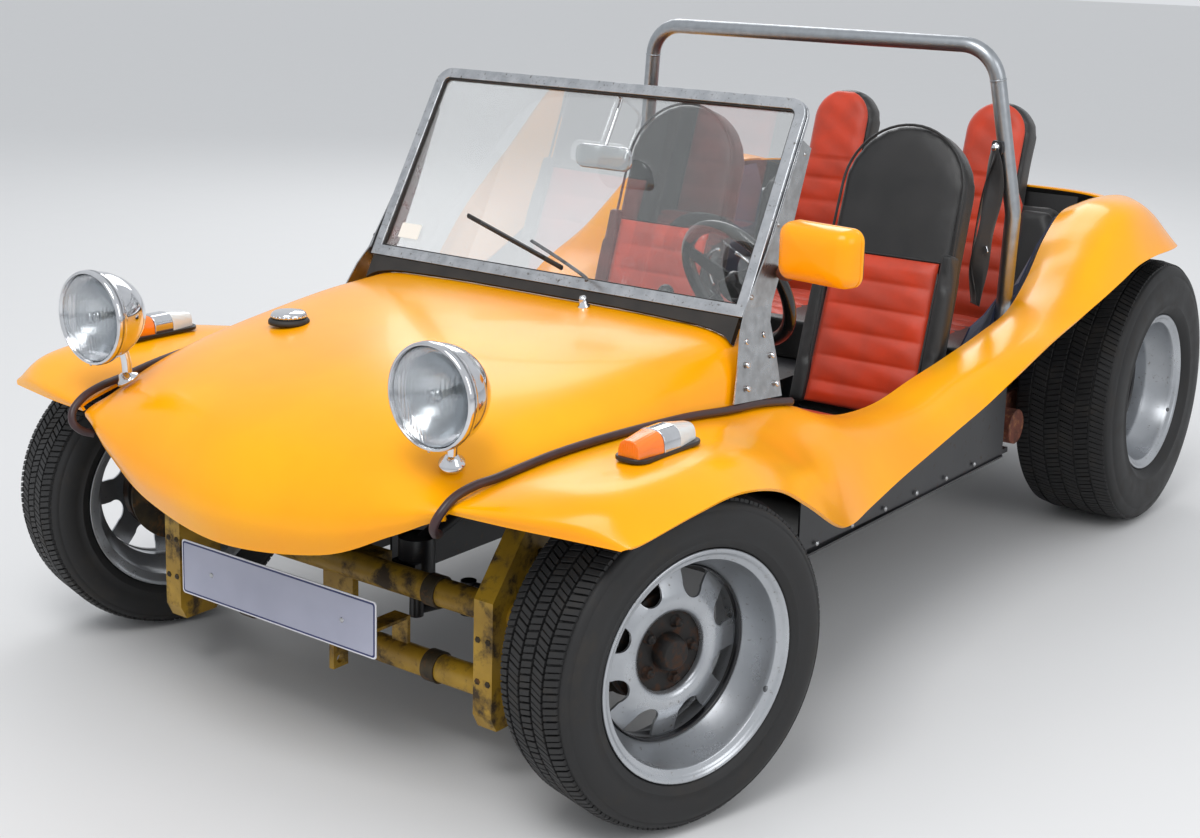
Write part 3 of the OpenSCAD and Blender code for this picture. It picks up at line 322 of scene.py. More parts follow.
def smooth(row: Sequence[Vector], steps: int) -> list[Vector]:
    """A smooth line through the points of row, with steps between neighbours."""
    out = []
    for i in range(len(row) - 1):
        four = [row[max(0, min(len(row) - 1, j))] for j in (i - 1, i, i + 1, i + 2)]
        out += [bend(*four, k / steps) for k in range(steps)]
    return out + [row[-1]]


def smooth_grid(grid: Grid, along: int, over: int) -> Grid:
    """A finer skin through a grid of points, by along between rows and over between columns."""
    wide = [smooth(row, over) for row in grid]
    lines = [smooth([row[j] for row in wide], along) for j in range(len(wide[0]))]
    return [[line[i] for line in lines] for i in range(len(lines[0]))]


def station(x: float, s: float, z: float) -> Vector:
    """A point in metres from half width, station behind the front axle and height, in mm."""
    return Vector((x, s + FRONT_Y, z)) * MM


def points(rows: Sequence) -> Grid:
    """A grid of points in metres from rows of (half width, station, height)."""
    return [[station(*p) for p in row] for row in rows]


def mirrored(grid: Grid) -> Grid:
    """The same grid on the car's other side."""
    return [[Vector((-p.x, p.y, p.z)) for p in row] for row in grid]


def full_width(grid: Grid) -> Grid:
    """Rows listed from the middle outwards, carried over to the other side."""
    return [[Vector((-p.x, p.y, p.z)) for p in reversed(row[1:])] + row for row in grid]


# ---- meshes ----
class Maker:
    """Makes finished mesh pieces that ride on one CAD body."""

    def __init__(self, body: str) -> None:
        """Keeps the body that the pieces ride on."""
        self.body = body

    def piece(self, name: str, verts: Sequence, faces: Sequence, *finishes: Finish, soft: bool = True,
              place: Optional[Matrix] = None) -> bpy.types.Object:
        """Makes a piece from points and faces.

        Args:
            name: The piece's name.
            verts: Its points, in metres.
            faces: Its faces, as indices of points.
            finishes: Its materials; faces use the first.
            soft: Whether its shading is smooth.
            place: Where it stands, where its points aren't in the car's frame.

        Returns:
            The new object, riding on the body.
        """
        mesh = bpy.data.meshes.new(name)
        where = place or Matrix()
        mesh.from_pydata([where @ Vector(v) for v in verts], [], [list(f) for f in faces])
        mesh.update()
        for polygon in mesh.polygons:
            polygon.use_smooth = soft
        for finish in finishes:
            mesh.materials.append(finish.build())
        made = bpy.data.objects.new(name, mesh)
        bpy.context.scene.collection.objects.link(made)
        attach(made, self.body)
        return made

    def bevelled(self, made: bpy.types.Object, width_mm: float, segments: int = 2) -> bpy.types.Object:
        """Rounds the piece's sharp edges by width_mm and shades it smoothly between them."""
        bevel = made.modifiers.new("bevel", "BEVEL")
        bevel.width = width_mm * MM
        bevel.segments = segments
        bevel.limit_method = "ANGLE"
        bevel.angle_limit = math.radians(38)
        bevel.harden_normals = True
        return made

    def sheet(self, name: str, grid: Grid, thick_mm: float, *finishes: Finish, flip: bool = False,
              edge_mm: float = 1.5) -> bpy.types.Object:
        """Makes a skin through a grid, thickened inwards, whose inner side takes the second finish."""
        n = len(grid[0])
        faces = [(i * n + j, i * n + j + 1, (i + 1) * n + j + 1, (i + 1) * n + j)
                 for i in range(len(grid) - 1) for j in range(n - 1)]
        if flip:
            faces = [f[::-1] for f in faces]
        made = self.piece(name, [p for row in grid for p in row], faces, *finishes)
        solid = made.modifiers.new("thickness", "SOLIDIFY")
        solid.thickness = thick_mm * MM
        solid.offset = -1
        solid.use_quality_normals = True
        if len(finishes) > 1:
            solid.material_offset = 1
        self.bevelled(made, edge_mm)
        return made

    def turned(self, name: str, profile: Sequence, place: Matrix, *finishes: Finish, steps: int = 96,
               closed: bool = True, kinds: Optional[Callable[[int], int]] = None) -> bpy.types.Object:
        """Turns a profile of (radius, height) in mm about the z axis of place.

        Args:
            name: The piece's name.
            profile: The outline, in order.
            place: The frame whose z axis is the axis.
            finishes: Its materials.
            steps: Facets in a full turn.
            closed: Whether the outline closes on itself.
            kinds: Gives the material number of each stretch of the outline.

        Returns:
            The new object.
        """
        m = len(profile)
        verts = [(r * MM * math.cos(a), r * MM * math.sin(a), h * MM)
                 for k in range(steps) for a in [2 * math.pi * k / steps] for r, h in profile]
        faces = []
        marks = []
        for k in range(steps):
            for i in range(m if closed else m - 1):
                j = (i + 1) % m
                l = (k + 1) % steps
                faces.append((k * m + i, l * m + i, l * m + j, k * m + j))
                marks.append(kinds(i) if kinds else 0)
        made = self.piece(name, verts, faces, *finishes, place=place)
        for polygon, mark in zip(made.data.polygons, marks):
            polygon.material_index = mark
        clean(made)
        return made

    def box(self, name: str, low: Sequence, high: Sequence, finish: Finish, edge_mm: float = 2.0,
            place: Optional[Matrix] = None) -> bpy.types.Object:
        """Makes a block between two corners in mm, with rounded edges."""
        corners = [(x * MM, y * MM, z * MM) for x in (low[0], high[0]) for y in (low[1], high[1])
                   for z in (low[2], high[2])]
        faces = [(0, 1, 3, 2), (4, 6, 7, 5), (0, 4, 5, 1), (2, 3, 7, 6), (0, 2, 6, 4), (1, 5, 7, 3)]
        return self.bevelled(self.piece(name, corners, faces, finish, place=place), edge_mm)

    def prism(self, name: str, outline: Sequence, low: float, high: float, finish: Finish,
              edge_mm: float = 1.5,
              place: Optional[Matrix] = None) -> bpy.types.Object:
        """Makes a plate from an outline of (x, y) in mm, between two heights."""
        m = len(outline)
        verts = [(x * MM, y * MM, z * MM) for z in (low, high) for x, y in outline]
        faces = [tuple(range(m - 1, -1, -1)), tuple(range(m, 2 * m))]
        faces += [(i, (i + 1) % m, m + (i + 1) % m, m + i) for i in range(m)]
        made = self.piece(name, verts, faces, finish, place=place)
        clean(made)
        return self.bevelled(made, edge_mm)

    def tube(self, name: str, path: Sequence[Vector], radius_mm: float, finish: Finish, sides: int = 16,
             flat: float = 1.0) -> bpy.types.Object:
        """Makes a tube along a path in metres; flat thins its section in its second direction."""
        verts, faces = [], []
        side = Vector((0.31, 0.87, 0.37))
        for i, p in enumerate(path):
            way = (path[min(i + 1, len(path) - 1)] - path[max(i - 1, 0)]).normalized()
            side = (side - way * side.dot(way)).normalized()
            up = way.cross(side)
            for k in range(sides):
                a = 2 * math.pi * k / sides
                verts.append(p + radius_mm * MM * (side * math.cos(a) + up * math.sin(a) * flat))
        for i in range(len(path) - 1):
            for k in range(sides):
                l = (k + 1) % sides
                faces.append((i * sides + k, i * sides + l, (i + 1) * sides + l, (i + 1) * sides + k))
        faces.append(tuple(range(sides - 1, -1, -1)))
        faces.append(tuple((len(path) - 1) * sides + k for k in range(sides)))
        made = self.piece(name, verts, faces, finish)
        return made

    def scattered(self, name: str, shape: Callable[[], tuple], places: Sequence[Matrix],
                  *finishes: Finish) -> bpy.types.Object:
        """Joins one copy of a small shape at each place into a single piece."""
        base, parts = shape()
        verts, faces = [], []
        for place in places:
            first = len(verts)
            verts += [place @ Vector(v) for v in base]
            faces += [tuple(first + i for i in f) for f in parts]
        return self.piece(name, verts, faces, *finishes)


def clean(made: bpy.types.Object) -> None:
    """Merges doubled points and turns the faces outwards."""
    bm = bmesh.new()
    bm.from_mesh(made.data)
    bmesh.ops.remove_doubles(bm, verts=bm.verts, dist=0.00002)
    bmesh.ops.recalc_face_normals(bm, faces=bm.faces)
    bm.to_mesh(made.data)
    bm.free()


def bolt_shape(across_mm: float, high_mm: float) -> Callable[[], tuple]:
    """A hexagon nut or bolt head with a domed end and a washer, standing on z = 0."""
    r = across_mm / 2 * MM
    rings = [(r * 1.25, 0.0, 24), (r * 1.25, 1.6 * MM, 24), (r, 1.6 * MM, 6), (r, high_mm * 0.8 * MM, 6),
             (r * 0.86, high_mm * MM, 6), (r * 0.5, high_mm * MM, 6), (r * 0.46, high_mm * 1.3 * MM, 6)]

    def draw() -> tuple:
        """Draws the rings and the faces between them."""
        verts, faces = [], []
        for radius, z, n in rings:
            for k in range(24):
                a = math.pi / 12 * k
                if n == 6:
                    off_corner = ((a + math.pi / 6) % (math.pi / 3)) - math.pi / 6
                    inner = math.cos(math.pi / 6) / max(math.cos(off_corner), 0.5)
                    verts.append((radius * inner * math.cos(a), radius * inner * math.sin(a), z))
                else:
                    verts.append((radius * math.cos(a), radius * math.sin(a), z))
        for i in range(len(rings) - 1):
            faces += [(i * 24 + k, i * 24 + (k + 1) % 24, (i + 1) * 24 + (k + 1) % 24, (i + 1) * 24 + k)
                      for k in range(24)]
        faces.append(tuple((len(rings) - 1) * 24 + k for k in range(24)))
        return verts, faces
    return draw


def dome_shape(radius_mm: float, high_mm: float) -> Callable[[], tuple]:
    """A rivet's dome, standing on z = 0."""
    def draw() -> tuple:
        """Draws rings from the rim up to the crown."""
        verts, faces = [], []
        for i in range(5):
            a = math.pi / 2 * i / 5
            for k in range(20):
                b = math.pi / 10 * k
                verts.append((radius_mm * MM * math.cos(a) * math.cos(b),
                              radius_mm * MM * math.cos(a) * math.sin(b),
                              high_mm * MM * math.sin(a)))
        verts.append((0, 0, high_mm * MM))
        for i in range(4):
            faces += [(i * 20 + k, i * 20 + (k + 1) % 20, (i + 1) * 20 + (k + 1) % 20, (i + 1) * 20 + k)
                      for k in range(20)]
        faces += [(80 + k, 80 + (k + 1) % 20, 100) for k in range(20)]
        return verts, faces
    return draw


def standing(at: Vector, way: Vector, spin: float = 0.0) -> Matrix:
    """A frame at a point whose z axis points along way."""
    turn = way.normalized().to_track_quat("Z", "X").to_matrix().to_4x4()
    return Matrix.Translation(at) @ turn @ Matrix.Rotation(spin, 4, "Z")


def coat(finish: Finish, *nodes: str) -> None:
    """Gives CAD nodes a finish on their objects' own material slots."""
    for name in nodes:
        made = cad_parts[name]
        if not made.material_slots:
            made.data.materials.append(None)
        for place in made.material_slots:
            place.link = "OBJECT"
            place.material = finish.build()


# ---- moulded body ----
@dataclass
class Body:
    """The moulded shell, its beading, and the cockpit's plain panels."""
    shell_mm: float = 6.0
    bead_mm: float = 8.0
    fine: int = 8
    side_rows: list = field(default_factory=lambda: [
        [(478, -355, 588), (590, -340, 586), (700, -314, 582), (783, -288, 576)],
        [(481, -350, 603), (594, -336, 612), (708, -309, 610), (798, -276, 583)],
        [(497, -249, 622), (610, -249, 640), (735, -249, 640), (808, -241, 589)],
        [(513, -124, 636), (620, -124, 652), (745, -124, 653), (822, -122, 609)],
        [(530, 0, 642), (628, 0, 656), (748, 0, 655), (825, 0, 614)],
        [(545, 129, 642), (636, 129, 652), (750, 129, 640), (825, 129, 588)],
        [(551, 250, 636), (640, 250, 636), (745, 250, 602), (820, 245, 530)],
        [(553, 380, 622), (636, 385, 606), (735, 395, 540), (796, 403, 445)],
        [(553, 500, 612), (625, 510, 582), (710, 520, 500), (765, 520, 410)],
        [(552, 620, 592), (612, 630, 568), (685, 640, 492), (738, 645, 408)],
        [(550, 735, 552), (605, 750, 540), (675, 770, 488), (722, 800, 426)],
        [(550, 850, 527), (604, 870, 524), (672, 900, 492), (715, 940, 446)],
        [(550, 1000, 523), (604, 1020, 528), (674, 1040, 512), (712, 1080, 470)],
        [(550, 1160, 545), (606, 1170, 553), (678, 1190, 542), (715, 1220, 500)],
        [(551, 1330, 567), (610, 1330, 582), (688, 1325, 580), (733, 1300, 541)],
        [(556, 1520, 600), (615, 1515, 624), (700, 1500, 630), (757, 1455, 612)],
        [(558, 1660, 632), (620, 1655, 676), (714, 1640, 700), (775, 1600, 657)],
        [(556, 1770, 700), (625, 1765, 752), (724, 1745, 772), (786, 1700, 688)],
        [(553, 1860, 782), (630, 1855, 822), (732, 1840, 830), (793, 1795, 717)],
        [(551, 1965, 843), (635, 1960, 876), (738, 1940, 866), (799, 1895, 747)],
        [(550, 2090, 856), (636, 2085, 884), (736, 2060, 864), (801, 2010, 757)],
        [(550, 2215, 858), (630, 2205, 872), (726, 2165, 838), (800, 2120, 758)],
        [(550, 2330, 845), (618, 2315, 846), (705, 2270, 800), (782, 2215, 754)],
        [(550, 2420, 815), (600, 2400, 805), (675, 2350, 764), (740, 2290, 742)],
        [(550, 2480, 770), (585, 2455, 762), (635, 2405, 738), (680, 2345, 724)]])
    tail_rows: list = field(default_factory=lambda: [
        [(0, 2262, 864), (420, 2262, 864), (549.2, 2262, 854)],
        [(0, 2335, 855), (420, 2335, 855), (549.2, 2335, 844)],
        [(0, 2430, 832), (420, 2430, 830), (549, 2425, 812)],
        [(0, 2520, 795), (415, 2518, 790), (547, 2500, 752)],
        [(0, 2575, 745), (410, 2570, 738), (541, 2535, 700)],
        [(0, 2596, 680), (405, 2590, 674), (535, 2558, 645)],
        [(0, 2592, 610), (400, 2588, 608), (529, 2562, 596)]])
    bonnet_rows: list = field(default_factory=lambda: [
        [(0, 556, 763), (300, 556, 761), (468, 556, 749), (524, 556, 694), (545, 556, 606)],
        [(0, 490, 763), (300, 490, 761), (468, 490, 749), (526, 490, 694), (547, 490, 608)],
        [(0, 400, 764), (295, 400, 761), (462, 400, 746), (525, 400, 698), (549, 400, 617)],
        [(0, 280, 764), (285, 280, 759), (448, 280, 742), (518, 280, 696), (546, 280, 630)],
        [(0, 120, 754), (270, 120, 747), (430, 120, 728), (504, 120, 690), (540, 120, 638)],
        [(0, -50, 738), (255, -50, 729), (412, -50, 708), (486, -50, 676), (522, -50, 638)],
        [(0, -180, 717), (245, -180, 706), (398, -180, 684), (468, -180, 656), (500, -180, 627)],
        [(0, -290, 688), (238, -285, 676), (386, -275, 654), (452, -268, 632), (486, -258, 612)],
        [(0, -380, 644), (234, -366, 636), (378, -345, 618), (444, -335, 606), (477, -326, 598)],
        [(0, -430, 585), (232, -408, 580), (374, -382, 588), (440, -364, 590), (473, -352, 588)],
        [(0, -449, 510), (230, -420, 520), (372, -390, 556), (438, -368, 575), (471, -355, 580)],
        [(0, -430, 446), (228, -404, 470), (370, -382, 530), (436, -362, 562), (470, -352, 573)]])
    bead_curl: list = field(default_factory=lambda: [
        (490, -300, 627), (484, -345, 616), (480, -376, 595), (472, -384, 572), (463, -370, 554),
                                                     (452, -350, 546)])

    def build(self, maker: Maker) -> None:
        """Makes the shell's skins, the beading and the cockpit's finishes."""
        side = smooth_grid(points(self.side_rows), self.fine, self.fine)
        for name, grid, flip in (("body_side_left", side, False), ("body_side_right", mirrored(side), True)):
            skin = maker.sheet(name + "_skin", grid, self.shell_mm, GELCOAT, LAMINATE, flip=flip)
            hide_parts(name)
        for name, rows, flip in (("tail_body", self.tail_rows, False), ("bonnet", self.bonnet_rows, True)):
            grid = smooth_grid(full_width(points(rows)), self.fine, self.fine)
            skin = maker.sheet(name + "_skin", grid, self.shell_mm, GELCOAT, LAMINATE, flip=flip)
            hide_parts(name)
        log.info("shell: 4 skins")
        self.bead(maker)
        coat(ABS, "cockpit_tub", "dashboard")
        coat(LINING, "wheel_wells")
        coat(BLACK_ENAMEL, "floor_pan", "side_panels")
        self.panels(maker)

    def bead(self, maker: Maker) -> None:
        """Lays the beading in the seams and round the nose corners."""
        seam = [(r[0][0] + 1.7, r[0][1], r[0][2] + self.bead_mm + 1.4) for r in self.side_rows[9:1:-1]]
        for way in (1, -1):
            path = smooth([station(way * x, s, z) for x, s, z in seam + self.bead_curl], 10)
            maker.tube("beading_" + ("right", "", "left")[way + 1], path, self.bead_mm, BEADING)
        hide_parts("bonnet_beading")

    def panels(self, maker: Maker) -> None:
        """Adds the floor mats, the sills' bottom flanges and their screws."""
        for way in (1, -1):
            maker.box(f"sill_flange_{'l' if way > 0 else 'r'}",
                      *block_at(way * 604, way * 622, 580, 1552, 286, 291), BLACK_ENAMEL, 1.0)
            maker.box(f"floor_mat_{'l' if way > 0 else 'r'}",
                      *block_at(way * 95, way * 560, 400, 1560, 300.5, 304), RUBBER, 1.0)
        places = [standing(station(way * 620.6, s, 305), Vector((way, 0, 0))) for way in (1, -1)
                  for s in range(640, 1540, 150)]
        maker.scattered("sill_screws", bolt_shape(9, 3), places, BRUSHED)
        log.info("panels: flanges, mats and %d screws", len(places))


def block_at(x1: float, x2: float, s1: float, s2: float, z1: float, z2: float) -> tuple[tuple, tuple]:
    """The lowest and the highest corner of a block given by stations, in mm."""
    low = (min(x1, x2), min(s1, s2) + FRONT_Y, min(z1, z2))
    high = (max(x1, x2), max(s1, s2) + FRONT_Y, max(z1, z2))
    return low, high


# ---- windscreen ----
@dataclass
class Windscreen:
    """The flat screen in its extruded frame, with its rubber, brackets, wiper and mirrors."""
    foot_s: float = 489.0
    foot_z: float = 790.5
    lean_deg: float = 29.0
    half_mm: float = 512.0
    taper_mm: float = 7.0
    high_mm: float = 482.0
    bar_mm: float = 26.0
    deep_mm: float = 20.0
    round_mm: float = 42.0

    def place(self) -> Matrix:
        """The frame of the screen: x across, y to the rear, z up its slope."""
        return Matrix.Translation(station(0, self.foot_s, self.foot_z)) @ Matrix.Rotation(
            -math.radians(self.lean_deg), 4, "X")

    def outline(self, inset: float, steps: int = 10) -> list[tuple]:
        """Points round the frame, inset mm inside its outer edge."""
        foot = self.half_mm - inset
        w = foot - self.taper_mm
        h = self.high_mm - inset
        r = self.round_mm - inset
        arc = [(w - r + r * math.cos(math.pi / 2 * k / steps), h - r + r * math.sin(math.pi / 2 * k / steps))
               for k in range(steps + 1)]
        return [(foot, inset)] + arc + [(-x, z) for x, z in reversed(arc)] + [(-foot, inset)]

    def band(self, maker: Maker, name: str, out: float, inn: float, front: float, back: float, finish: Finish,
             edge_mm: float) -> bpy.types.Object:
        """Makes a frame-shaped bar between two insets and two depths."""
        rings = [(self.outline(out), front), (self.outline(inn), front), (self.outline(inn), back),
                 (self.outline(out), back)]
        m = len(rings[0][0])
        verts = [(x * MM, y * MM, z * MM) for ring, y in rings for x, z in ring]
        faces = [(a * m + i, a * m + (i + 1) % m, b * m + (i + 1) % m, b * m + i)
                 for a, b in ((0, 1), (1, 2), (2, 3), (3, 0)) for i in range(m)]
        made = maker.piece(name, verts, faces, finish, place=self.place())
        clean(made)
        return maker.bevelled(made, edge_mm)

    def build(self, maker: Maker) -> None:
        """Makes the screen and everything on it."""
        front = self.band(maker, "screen_front_bar", 1.5, self.bar_mm, 0, 8.2, ALUMINIUM, 1.6)
        self.band(maker, "screen_outer_lip", 0, 5, 11.5, self.deep_mm, ALUMINIUM, 1.2)
        self.band(maker, "screen_core", 6, self.bar_mm - 7, 8.2, self.deep_mm - 2, ALUMINIUM, 0.4)
        self.band(maker, "screen_rear_bar", 3, self.bar_mm, 13.4, self.deep_mm, ALUMINIUM, 1.2)
        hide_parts("windscreen_frame")
        self.band(maker, "glazing_rubber", self.bar_mm - 1, self.bar_mm + 3.5, 4.5, 15.0, RUBBER, 0.8)
        coat(WINDOW, "windscreen_glass")
        coat(RUBBER, "windscreen_seal")
        coat(BRUSHED, "windscreen_brackets")
        place = self.place()
        maker.box("blank_sticker", (-452, 6.0, 52), (-392, 6.6, 88), PAPER, 0.2, place=place)
        maker.box("foot_strip", (-self.half_mm + 4, -1.2, 1), (self.half_mm - 4, 1.0, 17), ALUMINIUM, 0.8,
                  place=place)
        log.info("screen: frame in 4 bars, rubber and sticker")
        self.rivets(maker)
        self.wiper(maker)
        self.mirrors(maker)

    def rivets(self, maker: Maker) -> None:
        """Adds the dome rivets of the brackets, in three rows of two."""
        spots = [(557.0, 447, 662), (557.0, 556, 652), (546.5, 458, 706), (546.5, 552, 710),
                 (531.5, 476, 748),
                 (531.5, 540, 752)]
        way = Vector((0.975, 0, 0.21))
        places = [standing(station(side * x, s, z), Vector((side * way.x, 0, way.z)))
                  for side in (1, -1) for x, s, z in spots]
        maker.scattered("bracket_rivets", dome_shape(6.5, 4.0), places, CHROME)
        screws = [standing(station(side * (515.4 - d * 6.5), 500 + d * 210, 815 + d * 300),
                           Vector((side, 0, 0)))
                  for side in (1, -1) for d in (0.05, 0.5, 0.95)]
        maker.scattered("bracket_screws", bolt_shape(8, 3), screws, BRUSHED)

    def wiper(self, maker: Maker) -> None:
        """Adds the wiper's pivot, arm and blade."""
        place = self.place()
        pivot = maker.turned("wiper_pivot", [(0, 0), (13, 0), (13, 4), (9, 7), (8.5, 20), (6, 26), (0, 27)],
                             standing(station(140, 455, 763), Vector((0, -0.25, 1))), CHROME, steps=32)
        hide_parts("wiper")
        arm = [place @ (Vector(p) * MM) for p in ((140, -38, 12), (120, -26, 24), (40, -13, 54),
                                                  (-60, -9, 88))]
        maker.tube("wiper_arm", smooth(arm, 6), 4.2, CAST, flat=0.6)
        blade = [place @ (Vector((40 - 300 * t, -7 + 3 * (2 * t - 1) ** 2, 40 + 84 * t)) * MM)
                 for t in [k / 12 for k in range(13)]]
        maker.tube("wiper_blade", blade, 4.6, RUBBER, flat=1.4)
        maker.tube("wiper_spine", [p + Vector((0, -0.006, 0.004)) for p in blade[2:-2]], 3.0, BLACK_ENAMEL)

    def mirrors(self, maker: Maker) -> None:
        """Adds the interior mirror on its stem, and the door mirror."""
        place = self.place()
        y = self.deep_mm + 34
        stem = [place @ (Vector(p) * MM) for p in ((0, 20.5, 470), (0, y - 8, 466), (0, y, 452), (0, y, 340))]
        inner = maker.tube("mirror_stem", smooth(stem, 6), 4.4, CHROME)
        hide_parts("interior_mirror")
        maker.turned("mirror_rose", [(0, 0), (14, 0), (14, 3), (9, 8), (0, 9)],
                     place @ Matrix.Translation(Vector((0, 20.4,
                                                        470)) * MM) @ Matrix.Rotation(-math.pi / 2, 4, "X"),
                     CHROME, steps=32)
        case = rounded(76, 27, 20, 6)
        lie = place @ Matrix.Translation(Vector((0, y + 2, 322)) * MM) @ Matrix.Rotation(math.radians(-62),
            4, "X")
        maker.prism("mirror_case", case, 0, 12, CHROME, 4.0, place=lie)
        maker.prism("mirror_glass", rounded(72, 23, 17, 6), -0.6, 0.6, MIRROR, 0.3, place=lie)
        outer = Matrix.Translation(station(632, 560, 925)) @ Matrix.Rotation(math.radians(-8), 4, "Z")
        lie = outer @ Matrix.Rotation(math.pi / 2, 4, "X")
        shell = self.shell(maker, lie)
        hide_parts("door_mirror")
        maker.prism("door_mirror_rim", rounded(90, 57, 24, 8), -32, -27, BLACK_ENAMEL, 1.6, place=lie)
        maker.prism("door_mirror_glass", rounded(84, 51, 20, 8), -33, -31.5, MIRROR, 0.4, place=lie)
        arm = [station(*p) for p in ((516.4, 610, 868), (575, 600, 872), (600, 580, 880), (606, 566, 904))]
        maker.tube("door_mirror_arm", smooth(arm, 8), 6.2, CHROME)
        knee = maker.turned("door_mirror_knuckle", [(0, -16), (12, -16), (15, -9), (15, 9), (12, 16),
                                                    (0, 16)],
                            standing(station(533, 608, 868), Vector((1, -0.2, 0))), RUST, steps=32)
        log.info("mirrors: 2")

    def shell(self, maker: Maker, lie: Matrix) -> bpy.types.Object:
        """Makes the door mirror's domed housing, with a groove round its rim."""
        verts, faces = [], []
        rings = [(1.0, -27), (1.0, -20), (0.975, -18.5), (0.975, -16), (1.0, -14.5), (0.99, 0), (0.95, 12),
                 (0.86, 22),
                 (0.68, 29), (0.4, 33), (0.0, 34)]
        base = rounded(92, 59, 26, 10)
        m = len(base)
        for share, z in rings:
            verts += [(x * share * MM, y * share * MM, z * MM) for x, y in base]
        for i in range(len(rings) - 1):
            faces += [(i * m + k, i * m + (k + 1) % m, (i + 1) * m + (k + 1) % m,
                       (i + 1) * m + k) for k in range(m)]
        faces.append(tuple(range(m - 1, -1, -1)))
        made = maker.piece("door_mirror_shell", verts, faces, GELCOAT, place=lie)
        clean(made)
        return maker.bevelled(made, 0.8)


def rounded(half_x: float, half_y: float, r: float, steps: int) -> list[tuple]:
    """A rectangle in mm with round corners."""
    out = []
    for cx, cy, first in ((1, 1, 0), (-1, 1, 1), (-1, -1, 2), (1, -1, 3)):
        for k in range(steps + 1):
            a = math.pi / 2 * (first + k / steps)
            out.append((cx * (half_x - r) + r * math.cos(a), cy * (half_y - r) + r * math.sin(a)))
    return out


